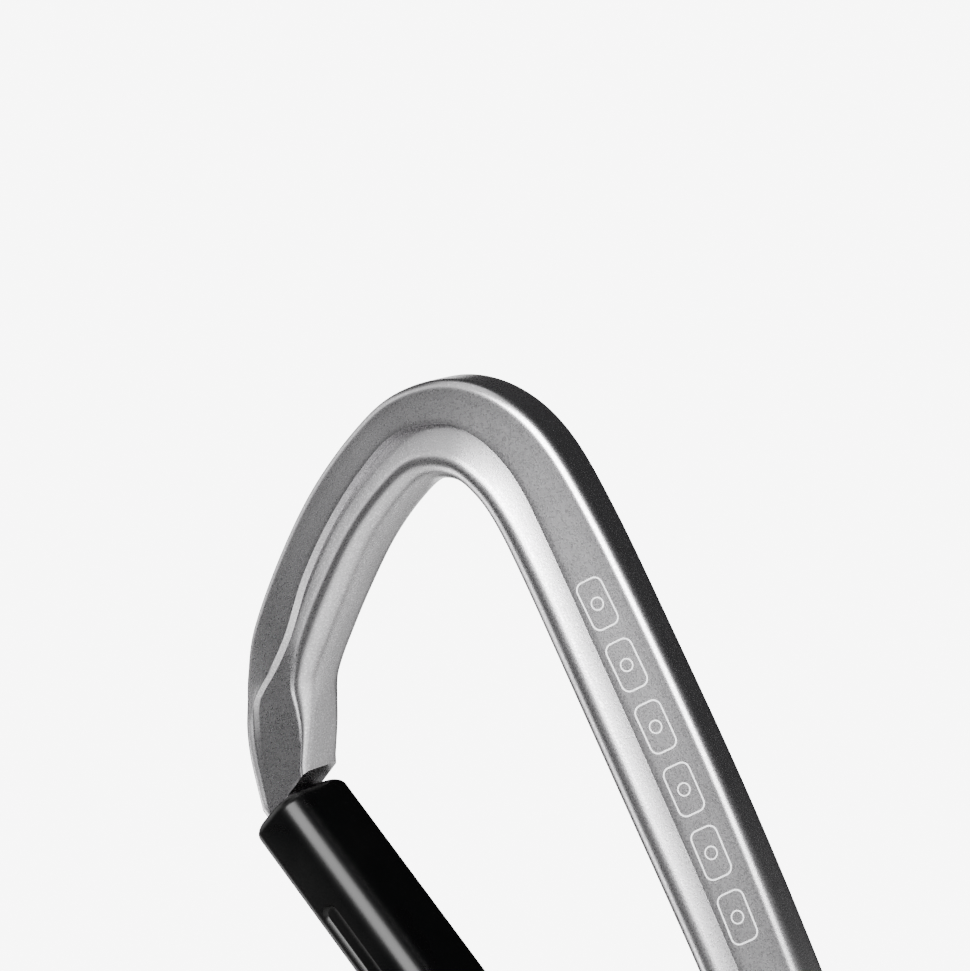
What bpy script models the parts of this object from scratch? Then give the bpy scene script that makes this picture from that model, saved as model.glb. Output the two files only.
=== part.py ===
"""Climbing quickdraw: two forged snap carabiners joined by a sewn 120 mm webbing sling.

Units are metres, +Z up. The origin is the highest inner point of the top carabiner, where it
hangs. +X runs from the gates to the spines and Y is across the carabiners' flat sides.
Each carabiner is modelled upright, wide end up, and the bottom one is the same part turned
half a turn about X.
"""

import math
from collections import namedtuple

import bmesh
import bpy
from mathutils import Matrix, Vector

MM = 0.001
GAP = 0.3 * MM                      # clearance between touching pieces

# Carabiner
HINGE = (-20.4 * MM, -72.3 * MM)    # x, z of the gate's rivet
GATE_LEAN = math.radians(17.2)      # gate's lean away from the spine
GATE_OUTER, GATE_INNER = -3.7 * MM, 3.9 * MM    # its two sides in the carabiner's plane
GATE_HALF_WIDTH = 5.2 * MM          # across the carabiner's plane
GATE_FULL_CORNER = 2.9 * MM         # rounding of its inner edges
GATE_TIGHT_CORNER = 1.3 * MM        # rounding of its outer edges
GATE_TOP = 52.45 * MM               # hinge to the top of the gate's head
RIVET_RADIUS = 1.5 * MM
RIVET_HEAD_RADIUS = 2.4 * MM
TANG_HALF_WIDTH = 2.0 * MM
NOSE_HALF_WIDTH = 2.7 * MM          # where it goes between the gate's ears
NOSE_NECK_HALF_WIDTH = 1.6 * MM
NOSE_BULB_HALF_WIDTH = 2.5 * MM
NOSE_DEPTH = (-1.95 * MM, 1.3 * MM)  # outer and inner side of the neck, in the gate's frame
NOSE_BULB = (44.5 * MM, 47.2 * MM)   # its lower and upper end along the gate
NOSE_NECK_TOP = 50.0 * MM
NOSE_SHOULDER = 52.95 * MM           # underside of the nose over the gate's inner web
NOSE_OUTER, NOSE_INNER = -3.1 * MM, 5.6 * MM    # its two sides there
POCKET_X = -1.2 * MM                 # groove on the straight gate, from the gate's axis
GATE_CORNER_STEPS = 4
BORE_RADIUS = 1.9 * MM
BORE_TOP = 19.5 * MM
FORK_CROTCH = 6.0 * MM
PLUNGER_TIP = 4.1 * MM
PLUNGER_LENGTH = 6.0 * MM
SPRING_RADIUS = 1.3 * MM
SPRING_WIRE = 0.22 * MM
SPRING_TURNS = 6
GATE_BEND = 3.5 * MM                # how far the bottom gate bows towards the spine
BEND_START, BEND_END = 14.0 * MM, 46.0 * MM

# Sling
SLING_LENGTH = 120.0 * MM           # between the outer ends of its two loops
WEB_WIDTH = 12.0 * MM
WEB_THICKNESS = 2.0 * MM
WEB_CENTRE_X = -5.8 * MM
LOOP_TOP = -78.9 * MM               # inner top of the upper loop, over the narrow bar
LOOP_RADIUS = 4.7 * MM              # inner radius round the bar
THROAT = 22.0 * MM                  # inner top of a loop to where its two legs meet
THROAT_RADIUS = 2.45 * MM           # rounded end of the shank, about the flex axis
SEAM = 0.15 * MM                    # half of the gap between the two layers
TACK_THICKNESS = 0.4 * MM
TACK_HALF_WIDTH = 4.9 * MM
TACK_LENGTH = 8.0 * MM
TAIL_LENGTH = 34.0 * MM
KEEPER_WALL = 1.5 * MM
KEEPER_HALF_WIDTH = 8.0 * MM
KEEPER_FOOT = 3.8 * MM              # how far the keeper stops short of the throat

# Places that follow from the sizes
THROAT_Z = LOOP_TOP - THROAT
SLING_MIDDLE_Z = LOOP_TOP + WEB_THICKNESS - SLING_LENGTH / 2
BOTTOM_ORIGIN_Z = 2 * SLING_MIDDLE_Z
SHANK_HALF_LENGTH = THROAT_Z - SLING_MIDDLE_Z
LAYER_OUTER_Y = SEAM + WEB_THICKNESS

# Half cross-section of the body at one place along its bar. outer and inner are (x, z) in mm.
# plate is the flat raised side's width from the back, back and crest its half thickness at
# the back and at the crisp edge, fall the drop per mm of the slope beside that edge, flank the
# half thickness of the low ground the slope ends on, bead that of the rounded inner side, and
# round the in-plane and across radii of the inner corner.
Row = namedtuple("Row", "outer inner plate back crest fall flank bead round")

ARCH_AND_SPINE = (
    Row((-39.4, -21.6), (-30.2, -19.3), 1.8, 2.6, 2.70, 0.30, 2.65, 2.70, (1.1, 1.1)),
    Row((-38.1, -16.3), (-28.0, -16.4), 1.8, 2.6, 2.70, 0.30, 2.60, 2.70, (1.2, 1.2)),
    Row((-36.8, -13.1), (-26.5, -14.2), 1.8, 2.6, 2.75, 0.30, 2.50, 2.80, (1.7, 1.6)),
    Row((-35.2, -10.6), (-25.0, -12.3), 1.9, 2.6, 2.90, 0.33, 2.35, 3.00, (2.5, 2.5)),
    Row((-33.4, -7.9), (-23.4, -11.0), 3.8, 2.6, 3.00, 0.36, 2.20, 3.15, (2.9, 2.9)),
    Row((-29.9, -3.9), (-21.0, -9.4), 5.1, 2.6, 3.10, 0.38, 2.20, 3.30, (3.1, 3.1)),
    Row((-22.5, 1.3), (-16.3, -6.4), 4.4, 2.6, 3.20, 0.40, 2.20, 3.40, (3.0, 3.3)),
    Row((-14.4, 5.7), (-10.2, -2.9), 4.2, 2.6, 3.25, 0.40, 2.20, 3.50, (2.8, 3.4)),
    Row((-6.1, 8.6), (-4.4, -0.7), 3.9, 2.6, 3.30, 0.40, 2.20, 3.50, (2.7, 3.4)),
    Row((0.6, 9.6), (0.0, 0.0), 3.8, 2.6, 3.30, 0.42, 2.20, 3.50, (2.7, 3.4)),
    Row((7.6, 8.1), (3.4, -1.5), 4.2, 2.6, 3.30, 0.42, 2.20, 3.50, (2.8, 3.4)),
    Row((12.9, 4.1), (5.0, -4.2), 4.8, 2.6, 3.30, 0.40, 2.20, 3.55, (3.0, 3.5)),
    Row((16.2, -2.0), (5.7, -7.8), 5.3, 2.5, 3.30, 0.40, 2.20, 3.60, (3.3, 3.6)),
    Row((17.5, -11.0), (5.9, -14.0), 5.7, 2.3, 3.30, 0.38, 2.20, 3.65, (3.5, 3.65)),
    Row((18.0, -25.0), (5.9, -25.0), 6.0, 2.1, 3.30, 0.36, 2.20, 3.65, (3.5, 3.65)),
    Row((18.1, -40.0), (5.9, -40.0), 6.1, 2.1, 3.30, 0.36, 2.20, 3.65, (3.5, 3.65)),
    Row((17.6, -54.0), (5.9, -54.0), 5.8, 2.2, 3.30, 0.36, 2.20, 3.65, (3.5, 3.65)),
    Row((16.7, -65.0), (5.6, -64.0), 5.3, 2.3, 3.30, 0.38, 2.20, 3.65, (3.4, 3.65)),
    Row((14.5, -76.0), (5.0, -73.2), 4.6, 2.4, 3.30, 0.40, 2.20, 3.65, (3.3, 3.6)),
    Row((9.7, -84.4), (2.9, -78.2), 4.1, 2.5, 3.30, 0.40, 2.20, 3.60, (3.2, 3.6)),
    Row((2.8, -89.0), (-0.6, -80.4), 3.9, 2.5, 3.30, 0.40, 2.20, 3.60, (3.2, 3.6)),
    Row((-5.2, -90.2), (-5.6, -80.8), 3.8, 2.5, 3.30, 0.40, 2.20, 3.60, (3.2, 3.6)),
    Row((-12.3, -88.9), (-10.4, -80.5), 3.6, 2.6, 3.30, 0.38, 2.40, 3.60, (3.0, 3.5)),
    Row((-18.2, -85.0), (-13.6, -79.1), 3.0, 2.8, 3.40, 0.30, 2.90, 3.65, (2.6, 2.8)),
    Row((-22.3, -79.0), (-15.3, -77.1), 1.8, 3.1, 3.60, 0.20, 3.50, 3.70, (2.0, 2.0)),
)
ROWS_PER_SPAN = 2                   # sections between two neighbouring rows
CORNER_RADIUS = 1.5                 # rounded outer corner, mm
BEAD_STEPS = 5                      # points round the inner corner


def clear_scene():
    for thing in list(bpy.data.objects):
        bpy.data.objects.remove(thing, do_unlink=True)


def make_collection(name):
    group = bpy.data.collections.new(name)
    bpy.context.scene.collection.children.link(group)
    return group


def make_material(name, colour, roughness, metallic):
    material = bpy.data.materials.new(name)
    material.use_nodes = True
    shader = material.node_tree.nodes["Principled BSDF"]
    shader.inputs["Base Color"].default_value = (*colour, 1.0)
    shader.inputs["Roughness"].default_value = roughness
    shader.inputs["Metallic"].default_value = metallic
    return material


def place(name, mesh, group, parent, material=None):
    thing = bpy.data.objects.new(name, mesh)
    group.objects.link(thing)
    thing.parent = parent
    if material:
        mesh.materials.append(material)
        mesh.shade_smooth()
        mesh.set_sharp_from_angle(angle=math.radians(35))
    return thing


def make_frame(name, group, location, rotation, parent=None):
    """An empty that carries the pieces which move together."""
    frame = bpy.data.objects.new(name, None)
    group.objects.link(frame)
    frame.location = location
    frame.rotation_euler = rotation
    frame.parent = parent
    return frame


def mesh_from(bm, name):
    bmesh.ops.recalc_face_normals(bm, faces=bm.faces)
    mesh = bpy.data.meshes.new(name)
    bm.to_mesh(mesh)
    bm.free()
    return mesh


def box_mesh(name, low, high):
    size = Vector(high) - Vector(low)
    centre = (Vector(high) + Vector(low)) / 2
    bm = bmesh.new()
    matrix = Matrix.Translation(centre) @ Matrix.Diagonal((*size, 1.0))
    bmesh.ops.create_cube(bm, size=1.0, matrix=matrix)
    return mesh_from(bm, name)


def cylinder_mesh(name, radius, start, end, sides=24):
    """A cylinder between two points."""
    start, end = Vector(start), Vector(end)
    turn = (end - start).to_track_quat("Z", "Y").to_matrix().to_4x4()
    bm = bmesh.new()
    bmesh.ops.create_cone(bm, cap_ends=True, segments=sides, radius1=radius, radius2=radius,
                          depth=(end - start).length, matrix=Matrix.Translation((start + end) / 2) @ turn)
    return mesh_from(bm, name)


def outline_mesh(name, points, half_depth, across):
    """A flat outline of (horizontal, vertical) points, extruded both ways across X or Y."""
    curve = bpy.data.curves.new(name, "CURVE")
    curve.dimensions = "2D"
    curve.fill_mode = "BOTH"
    curve.extrude = half_depth
    spline = curve.splines.new("POLY")
    spline.points.add(len(points) - 1)
    for point, (h, v) in zip(spline.points, points):
        point.co = (h, v, 0.0, 1.0)
    spline.use_cyclic_u = True
    mesh = mesh_of_curve(curve)
    turn = Matrix.Rotation(math.pi / 2, 4, "X")
    if across == "X":
        turn = Matrix.Rotation(math.pi / 2, 4, "Z") @ turn
    mesh.transform(turn)
    return mesh


def mesh_of_curve(curve):
    """The curve's closed mesh, with its caps welded on."""
    source = bpy.data.objects.new(curve.name, curve)
    bpy.context.scene.collection.objects.link(source)
    evaluated = source.evaluated_get(bpy.context.evaluated_depsgraph_get())
    bm = bmesh.new()
    bm.from_mesh(bpy.data.meshes.new_from_object(evaluated))
    bpy.data.objects.remove(source, do_unlink=True)
    bmesh.ops.remove_doubles(bm, verts=bm.verts, dist=0.001 * MM)
    return mesh_from(bm, curve.name)


def cut(target, cutter_mesh, cutters):
    """Take the cutter, placed in the target's own frame, out of the target."""
    cutter = place(cutter_mesh.name, cutter_mesh, cutters, target.parent)
    cutter.matrix_basis = target.matrix_basis
    cutter.hide_render = True
    cutter.display_type = "WIRE"
    modifier = target.modifiers.new(cutter_mesh.name, "BOOLEAN")
    modifier.operation = "DIFFERENCE"
    modifier.solver = "EXACT"
    modifier.object = cutter


def bevel(target, width, segments=2):
    modifier = target.modifiers.new("rounded_edges", "BEVEL")
    modifier.width = width
    modifier.segments = segments
    modifier.limit_method = "ANGLE"
    modifier.angle_limit = math.radians(30)


# Carabiner body: a loft of unlike sections along the bent bar

def half_section(row):
    """(distance from the back, half thickness) from the back to the inner side, in mm."""
    width = (Vector(row.outer) - Vector(row.inner)).length
    radius = min(CORNER_RADIUS, row.back - 0.5, width / 4)
    plate = max(row.plate, radius + 0.2)
    round_in, round_across = row.round
    bead_in, bead_across = width - round_in, row.bead - round_across

    def slope(s):
        return max(row.crest - row.fall * (s - plate), row.flank)

    def bead(angle):
        return (bead_in + round_in * math.cos(angle), bead_across + round_across * math.sin(angle))

    first = math.pi
    while first > math.pi / 2 and (bead(first)[0] < plate + 0.4 or bead(first)[1] < slope(bead(first)[0])):
        first -= 0.01
    start = bead(first)
    foot = min(start[0] - 0.15, plate + 0.15 + (row.crest - row.flank) / max(row.fall, 0.05))
    points = [(0.0, row.back - radius), (0.3 * radius, row.back - 0.3 * radius)]
    points += [(radius, row.back), (plate, row.crest), (foot, slope(foot))]
    for index in range(BEAD_STEPS + 1):
        points.append(bead(first + (math.radians(10) - first) * index / BEAD_STEPS))
    return points


def section_ring(row):
    """The whole section as points in the carabiner's frame, in metres."""
    outer, inner = Vector(row.outer), Vector(row.inner)
    inward = (inner - outer).normalized()
    half = half_section(row)
    both = [(s, -y) for s, y in half] + [(s, y) for s, y in reversed(half)]
    ring = []
    for s, y in both:
        spot = outer + inward * s
        ring.append(Vector((spot.x, y, spot.y)) * MM)
    return ring


def blend_value(a, b, c, d, t):
    """Catmull-Rom between b and c."""
    return 0.5 * (2 * b + (c - a) * t + (2 * a - 5 * b + 4 * c - d) * t * t
                  + (3 * b - a - 3 * c + d) * t ** 3)


def blend_rows(rows, index, t):
    around = [rows[min(max(index + step, 0), len(rows) - 1)] for step in (-1, 0, 1, 2)]
    values = []
    for field in zip(*around):
        if isinstance(field[0], tuple):
            values.append(tuple(blend_value(*parts, t) for parts in zip(*field)))
        else:
            values.append(blend_value(*field, t))
    return Row(*values)


def smooth_rows(rows):
    result = []
    for index in range(len(rows) - 1):
        for step in range(ROWS_PER_SPAN):
            result.append(blend_rows(rows, index, step / ROWS_PER_SPAN))
    return result + [rows[-1]]


def gate_row(along, outer, inner, half_width):
    """A plain rounded section across the gate's axis, given in the gate's frame (metres)."""
    def in_body(inward):
        x = HINGE[0] + inward * math.cos(GATE_LEAN) - along * math.sin(GATE_LEAN)
        z = HINGE[1] + inward * math.sin(GATE_LEAN) + along * math.cos(GATE_LEAN)
        return (x / MM, z / MM)
    half = half_width / MM
    corner = min(0.9, half - 0.5, (inner - outer) / MM * 0.3)
    ends = (in_body(outer), in_body(inner))
    return Row(*ends, corner + 0.3, half, half, 0.0, half, half, (corner, corner))


def nose_rows():
    """Bulb and neck that the gate's keyhole slot closes round, from the tip up."""
    outer, inner = NOSE_DEPTH
    low, high = NOSE_BULB
    soft = 0.4 * MM
    return [
        gate_row(low, outer + soft, inner - soft, NOSE_BULB_HALF_WIDTH - soft),
        gate_row(low + soft, outer, inner, NOSE_BULB_HALF_WIDTH),
        gate_row(high - soft, outer, inner, NOSE_BULB_HALF_WIDTH),
        gate_row(high, outer, inner, NOSE_NECK_HALF_WIDTH),
        gate_row(NOSE_NECK_TOP - 0.2 * MM, outer, inner, NOSE_NECK_HALF_WIDTH),
        gate_row(NOSE_NECK_TOP, outer, inner, NOSE_HALF_WIDTH),
        gate_row(NOSE_SHOULDER - 0.2 * MM, outer, inner, NOSE_HALF_WIDTH),
        gate_row(NOSE_SHOULDER, NOSE_OUTER, NOSE_INNER, NOSE_HALF_WIDTH),
    ]


def tang_rows():
    """Thin tang round the rivet, ending in the cam that lifts the plunger."""
    half = TANG_HALF_WIDTH
    shape = ((-2.9, -3.7, 3.7), (-2.4, -3.6, 3.6), (0.0, -3.6, 3.6), (1.9, -3.0, 3.6),
             (3.2, -1.3, 3.4), (3.8, 0.1, 3.1), (4.4, 1.6, 2.8))
    return [gate_row(along * MM, outer * MM, inner * MM, half) for along, outer, inner in shape]


def loft_mesh(name, rings):
    bm = bmesh.new()
    loops = [[bm.verts.new(point) for point in ring] for ring in rings]
    count = len(loops[0])
    for near, far in zip(loops, loops[1:]):
        for k in range(count):
            bm.faces.new((near[k], near[(k + 1) % count], far[(k + 1) % count], far[k]))
    bm.faces.new(loops[0])
    bm.faces.new(reversed(loops[-1]))
    return mesh_from(bm, name)


def build_body(name, group, cutters, frame, material):
    full_end = gate_row(-3.0 * MM, -3.8 * MM, 3.8 * MM, 3.7 * MM)
    rows = nose_rows() + smooth_rows(ARCH_AND_SPINE) + [full_end] + tang_rows()
    body = place(name, loft_mesh(name, [section_ring(row) for row in rows]), group, frame, material)
    x, z = HINGE
    hole = cylinder_mesh(name + "_rivet_hole", RIVET_RADIUS + GAP, (x, -9 * MM, z), (x, 9 * MM, z))
    cut(body, hole, cutters)
    for side in (-1, 1):
        near = (x, side * (TANG_HALF_WIDTH + 0.05 * MM), z)
        far = (x, side * 9 * MM, z)
        cheek = cylinder_mesh(f"{name}_cheek_{'back' if side > 0 else 'front'}", 4.5 * MM, near, far, 32)
        cut(body, cheek, cutters)
    return body


# Gate, built in its own frame: X towards the spine, Z from the rivet to the head

def bow(along, bend):
    """How far the gate's centre line bows towards the spine."""
    reach = (along - BEND_START) / (BEND_END - BEND_START)
    if not 0 < reach < 1:
        return 0.0
    return bend * math.sin(math.pi * reach) ** 2


def gate_ring(along, outer, inner, half_width, shift=0.0):
    """A cross-section of the gate: a rectangle whose inner edges are rounded the most."""
    span = inner - outer
    full = min(GATE_FULL_CORNER, span * 0.45, half_width * 0.6)
    tight = min(GATE_TIGHT_CORNER, span * 0.4)
    corners = ((inner - full, half_width - full, full, 0), (outer + tight, half_width - tight, tight, 90),
               (outer + tight, tight - half_width, tight, 180), (inner - full, full - half_width, full, 270))
    ring = []
    for x, y, radius, start in corners:
        for k in range(GATE_CORNER_STEPS + 1):
            angle = math.radians(start + 90 * k / GATE_CORNER_STEPS)
            ring.append(Vector((x + radius * math.cos(angle) + shift, y + radius * math.sin(angle), along)))
    return ring


def gate_mesh(name, bend):
    """A loft from the round heel, along the shaft, to the head's rounded end."""
    rings = []
    for degrees in (80, 60, 40, 20):
        angle = math.radians(degrees)
        reach = math.cos(angle)
        rings.append(gate_ring(GATE_OUTER * math.sin(angle), GATE_OUTER * reach, GATE_INNER * reach,
                               GATE_HALF_WIDTH))
    heights = [0.0, GATE_TOP - GATE_TIGHT_CORNER]
    if bend:
        heights[1:1] = [BEND_START + (BEND_END - BEND_START) * k / 12 for k in range(13)]
    for height in heights:
        rings.append(gate_ring(height, GATE_OUTER, GATE_INNER, GATE_HALF_WIDTH, bow(height, bend)))
    for degrees in (40, 75):
        angle = math.radians(degrees)
        inset = GATE_TIGHT_CORNER * (1 - math.cos(angle))
        height = GATE_TOP - GATE_TIGHT_CORNER * (1 - math.sin(angle))
        rings.append(gate_ring(height, GATE_OUTER + inset, GATE_INNER - inset, GATE_HALF_WIDTH - inset))
    return loft_mesh(name, rings)


def pocket_mesh(name, side):
    """A shallow round-ended groove along the gate's side face."""
    radius = 1.2 * MM
    low, high = 13 * MM, 39.5 * MM
    arc = [math.radians(a) for a in range(0, 181, 30)]
    points = [(radius * math.cos(a), high + radius * math.sin(a)) for a in arc]
    points += [(-radius * math.cos(a), low - radius * math.sin(a)) for a in arc]
    mesh = outline_mesh(name, points, 0.5 * MM, "Y")
    mesh.transform(Matrix.Translation((POCKET_X, side * GATE_HALF_WIDTH, 0)))
    return mesh


def build_gate(name, group, cutters, frame, material, bend=0.0):
    gate = place(name, gate_mesh(name, bend), group, frame, material)
    slot_x = NOSE_DEPTH[1] + 0.4 * MM
    bulb = NOSE_BULB_HALF_WIDTH + GAP
    neck = NOSE_NECK_HALF_WIDTH + GAP
    ears = NOSE_HALF_WIDTH + 0.35 * MM
    floor = NOSE_BULB[0] - 0.6 * MM
    ledge = NOSE_BULB[1] + 0.5 * MM
    ledge_top = NOSE_NECK_TOP - 0.4 * MM
    wide = 9 * MM
    fork = TANG_HALF_WIDTH + 0.4 * MM
    cut(gate, box_mesh(name + "_bulb_slot", (-wide, -bulb, floor), (slot_x, bulb, ledge)), cutters)
    cut(gate, box_mesh(name + "_neck_slot", (-wide, -neck, ledge - GAP), (slot_x, neck, 60 * MM)), cutters)
    cut(gate, box_mesh(name + "_ear_slot", (-wide, -ears, ledge_top), (slot_x, ears, 60 * MM)), cutters)
    cut(gate, box_mesh(name + "_fork", (-wide, -fork, -wide), (wide, fork, FORK_CROTCH)), cutters)
    bore = cylinder_mesh(name + "_bore", BORE_RADIUS, (0, 0, FORK_CROTCH - MM), (0, 0, BORE_TOP), 16)
    cut(gate, bore, cutters)
    hole = cylinder_mesh(name + "_rivet_hole", RIVET_RADIUS + GAP, (0, -wide, 0), (0, wide, 0))
    cut(gate, hole, cutters)
    for side, word in ((-1, "front"), (1, "back")):
        near, far = (0, side * (GATE_HALF_WIDTH - 0.9 * MM), 0), (0, side * wide, 0)
        sink = cylinder_mesh(f"{name}_head_recess_{word}", RIVET_HEAD_RADIUS + GAP, near, far)
        cut(gate, sink, cutters)
        if not bend:
            cut(gate, pocket_mesh(f"{name}_pocket_{word}", side), cutters)
    return gate


def build_rivet(name, group, frame, material):
    """A turned rivet with two low domed heads, lying across the gate."""
    head_start = GATE_HALF_WIDTH - 0.6 * MM
    top = GATE_HALF_WIDTH + 0.2 * MM
    edge = GATE_HALF_WIDTH - 0.1 * MM
    half = [(0.0, top), (1.4 * MM, top - 0.08 * MM), (RIVET_HEAD_RADIUS, edge),
            (RIVET_HEAD_RADIUS, head_start), (RIVET_RADIUS, head_start)]
    profile = half + [(r, -z) for r, z in reversed(half)]
    bm = bmesh.new()
    spots = [bm.verts.new((r, 0, z)) for r, z in profile]
    for a, b in zip(spots, spots[1:]):
        bm.edges.new((a, b))
    mesh = bpy.data.meshes.new(name)
    bm.to_mesh(mesh)
    bm.free()
    rivet = place(name, mesh, group, frame, material)
    rivet.rotation_euler = (math.pi / 2, 0, 0)
    screw = rivet.modifiers.new("turned", "SCREW")
    screw.steps = 20
    screw.render_steps = 20
    screw.use_merge_vertices = True
    screw.merge_threshold = 0.00001
    screw.use_smooth_shade = True
    return rivet


def build_plunger(name, group, frame, material):
    """A pin with a rounded lower tip that rides on the tang."""
    radius = BORE_RADIUS - 0.4 * MM
    tip = [(radius * math.sin(math.radians(a)), radius - radius * math.cos(math.radians(a)))
           for a in (90, 60, 30, 0)]
    profile = [(0.0, PLUNGER_LENGTH), (radius, PLUNGER_LENGTH)] + tip
    bm = bmesh.new()
    spots = [bm.verts.new((r, 0, PLUNGER_TIP + z)) for r, z in profile]
    for a, b in zip(spots, spots[1:]):
        bm.edges.new((a, b))
    mesh = bpy.data.meshes.new(name)
    bm.to_mesh(mesh)
    bm.free()
    plunger = place(name, mesh, group, frame, material)
    screw = plunger.modifiers.new("turned", "SCREW")
    screw.steps = 14
    screw.render_steps = 14
    screw.use_merge_vertices = True
    screw.merge_threshold = 0.00001
    screw.use_smooth_shade = True
    return plunger


def build_spring(name, group, frame, material):
    """A small compression coil between the plunger and the end of the bore."""
    low = PLUNGER_TIP + PLUNGER_LENGTH + SPRING_WIRE + GAP
    high = BORE_TOP - SPRING_WIRE - GAP
    curve = bpy.data.curves.new(name, "CURVE")
    curve.dimensions = "3D"
    curve.bevel_depth = SPRING_WIRE
    curve.bevel_resolution = 2
    curve.use_fill_caps = True
    spline = curve.splines.new("POLY")
    count = SPRING_TURNS * 9
    spline.points.add(count)
    for k, point in enumerate(spline.points):
        turn = 2 * math.pi * SPRING_TURNS * k / count
        height = low + (high - low) * k / count
        point.co = (SPRING_RADIUS * math.cos(turn), SPRING_RADIUS * math.sin(turn), height, 1.0)
    return place(name, mesh_of_curve(curve), group, frame, material)


def build_carabiner(side, group, cutters, frame, looks, bend):
    build_body(f"{side}_carabiner_body", group, cutters, frame, looks["forged_aluminium"])
    lean = (0, -GATE_LEAN, 0)
    pivot = make_frame(f"{side}_gate_pivot", group, (HINGE[0], 0, HINGE[1]), lean, frame)
    build_gate(f"{side}_gate", group, cutters, pivot, looks["black_gate"], bend)
    build_rivet(f"{side}_gate_rivet", group, pivot, looks["rivet_steel"])
    build_plunger(f"{side}_gate_plunger", group, pivot, looks["rivet_steel"])
    build_spring(f"{side}_gate_spring", group, pivot, looks["spring_steel"])


# Sling: flat webbing, drawn as outlines in the YZ plane and extruded across X

def loop_path(offset, foot=1.2 * MM):
    """Leg, arc over the bar and leg, offset outwards, in heights above the throat; each leg
    stops the distance foot short of it."""
    radius = LOOP_RADIUS + offset
    centre = THROAT - LOOP_RADIUS
    reach = LOOP_RADIUS - SEAM
    slant = math.asin(reach / centre)
    angles = [-slant + (math.pi + 2 * slant) * (k / 12) for k in range(13)]
    arc = [(radius * math.cos(a), centre + radius * math.sin(a)) for a in angles]
    along = Vector((-math.sin(slant), -math.cos(slant)))
    length = centre * math.cos(slant) - foot
    start = Vector(arc[0]) + along * length
    return [tuple(start)] + arc + [(-start.x, start.y)]


def build_loop(name, group, cutters, frame, material):
    outer = loop_path(WEB_THICKNESS)
    inner = loop_path(0.0)
    mesh = outline_mesh(name, outer + inner[::-1], WEB_WIDTH / 2, "X")
    mesh.transform(Matrix.Translation((WEB_CENTRE_X, 0, THROAT_Z)))
    loop = place(name, mesh, group, frame, material)
    left = (WEB_CENTRE_X - WEB_WIDTH, 0, THROAT_Z)
    right = (WEB_CENTRE_X + WEB_WIDTH, 0, THROAT_Z)
    throat = cylinder_mesh(name + "_throat", THROAT_RADIUS + 0.35 * MM, left, right)
    cut(loop, throat, cutters)
    return loop


def build_layer(name, group, side, material):
    """One webbing layer of the shank, its ends rounded about the two flex axes."""
    reach = SHANK_HALF_LENGTH
    arc = [math.radians(a) for a in range(0, 91, 15)]
    radius = THROAT_RADIUS
    outer, inner = LAYER_OUTER_Y, SEAM
    bend = [(radius * math.cos(a), radius * math.sin(a)) for a in arc]
    bend = [(min(y, outer), z) for y, z in bend if y > inner] + [(inner, radius)]
    points = [(y, reach + z) for y, z in bend] + [(y, -reach - z) for y, z in reversed(bend)]
    points = [(side * y, z) for y, z in points]
    mesh = outline_mesh(name, points, WEB_WIDTH / 2, "X")
    mesh.transform(Matrix.Translation((WEB_CENTRE_X, 0, SLING_MIDDLE_Z)))
    return place(name, mesh, group, None, material)


def build_patch(name, group, side, base, thickness, half_width, low, high, material):
    """A flat rounded block lying on the shank, from base outwards, between two heights."""
    near, far = side * base, side * (base + thickness)
    corner_low = (WEB_CENTRE_X - half_width, min(near, far), low)
    corner_high = (WEB_CENTRE_X + half_width, max(near, far), high)
    patch = place(name, box_mesh(name, corner_low, corner_high), group, None, material)
    bevel(patch, 0.12 * MM, 1)
    return patch


def build_shank(group, looks):
    build_layer("sling_front_layer", group, -1, looks["dark_webbing"])
    build_layer("sling_back_layer", group, 1, looks["dark_webbing"])
    face = LAYER_OUTER_Y + GAP
    tail = TAIL_LENGTH / 2
    build_patch("sling_tail_overlap", group, 1, face, WEB_THICKNESS, WEB_WIDTH / 2 - 0.3 * MM,
                SLING_MIDDLE_Z - tail, SLING_MIDDLE_Z + tail, looks["dark_webbing"])
    end_tack = SHANK_HALF_LENGTH - 7.5 * MM
    tail_tack = tail - 7 * MM
    places = (("top", end_tack, face), ("upper", tail_tack, face + WEB_THICKNESS + GAP),
              ("lower", -tail_tack, face + WEB_THICKNESS + GAP), ("bottom", -end_tack, face))
    for word, offset, back in places:
        middle = SLING_MIDDLE_Z + offset
        low, high = middle - TACK_LENGTH / 2, middle + TACK_LENGTH / 2
        for side, end, base in ((-1, "front", face), (1, "back", back)):
            build_patch(f"{word}_bar_tack_{end}", group, side, base, TACK_THICKNESS, TACK_HALF_WIDTH,
                        low, high, looks["orange_thread"])
    build_patch("sling_label", group, -1, face, 0.5 * MM, 4.2 * MM, SLING_MIDDLE_Z - 5 * MM,
                SLING_MIDDLE_Z + 5 * MM, looks["label_fabric"])


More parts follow.
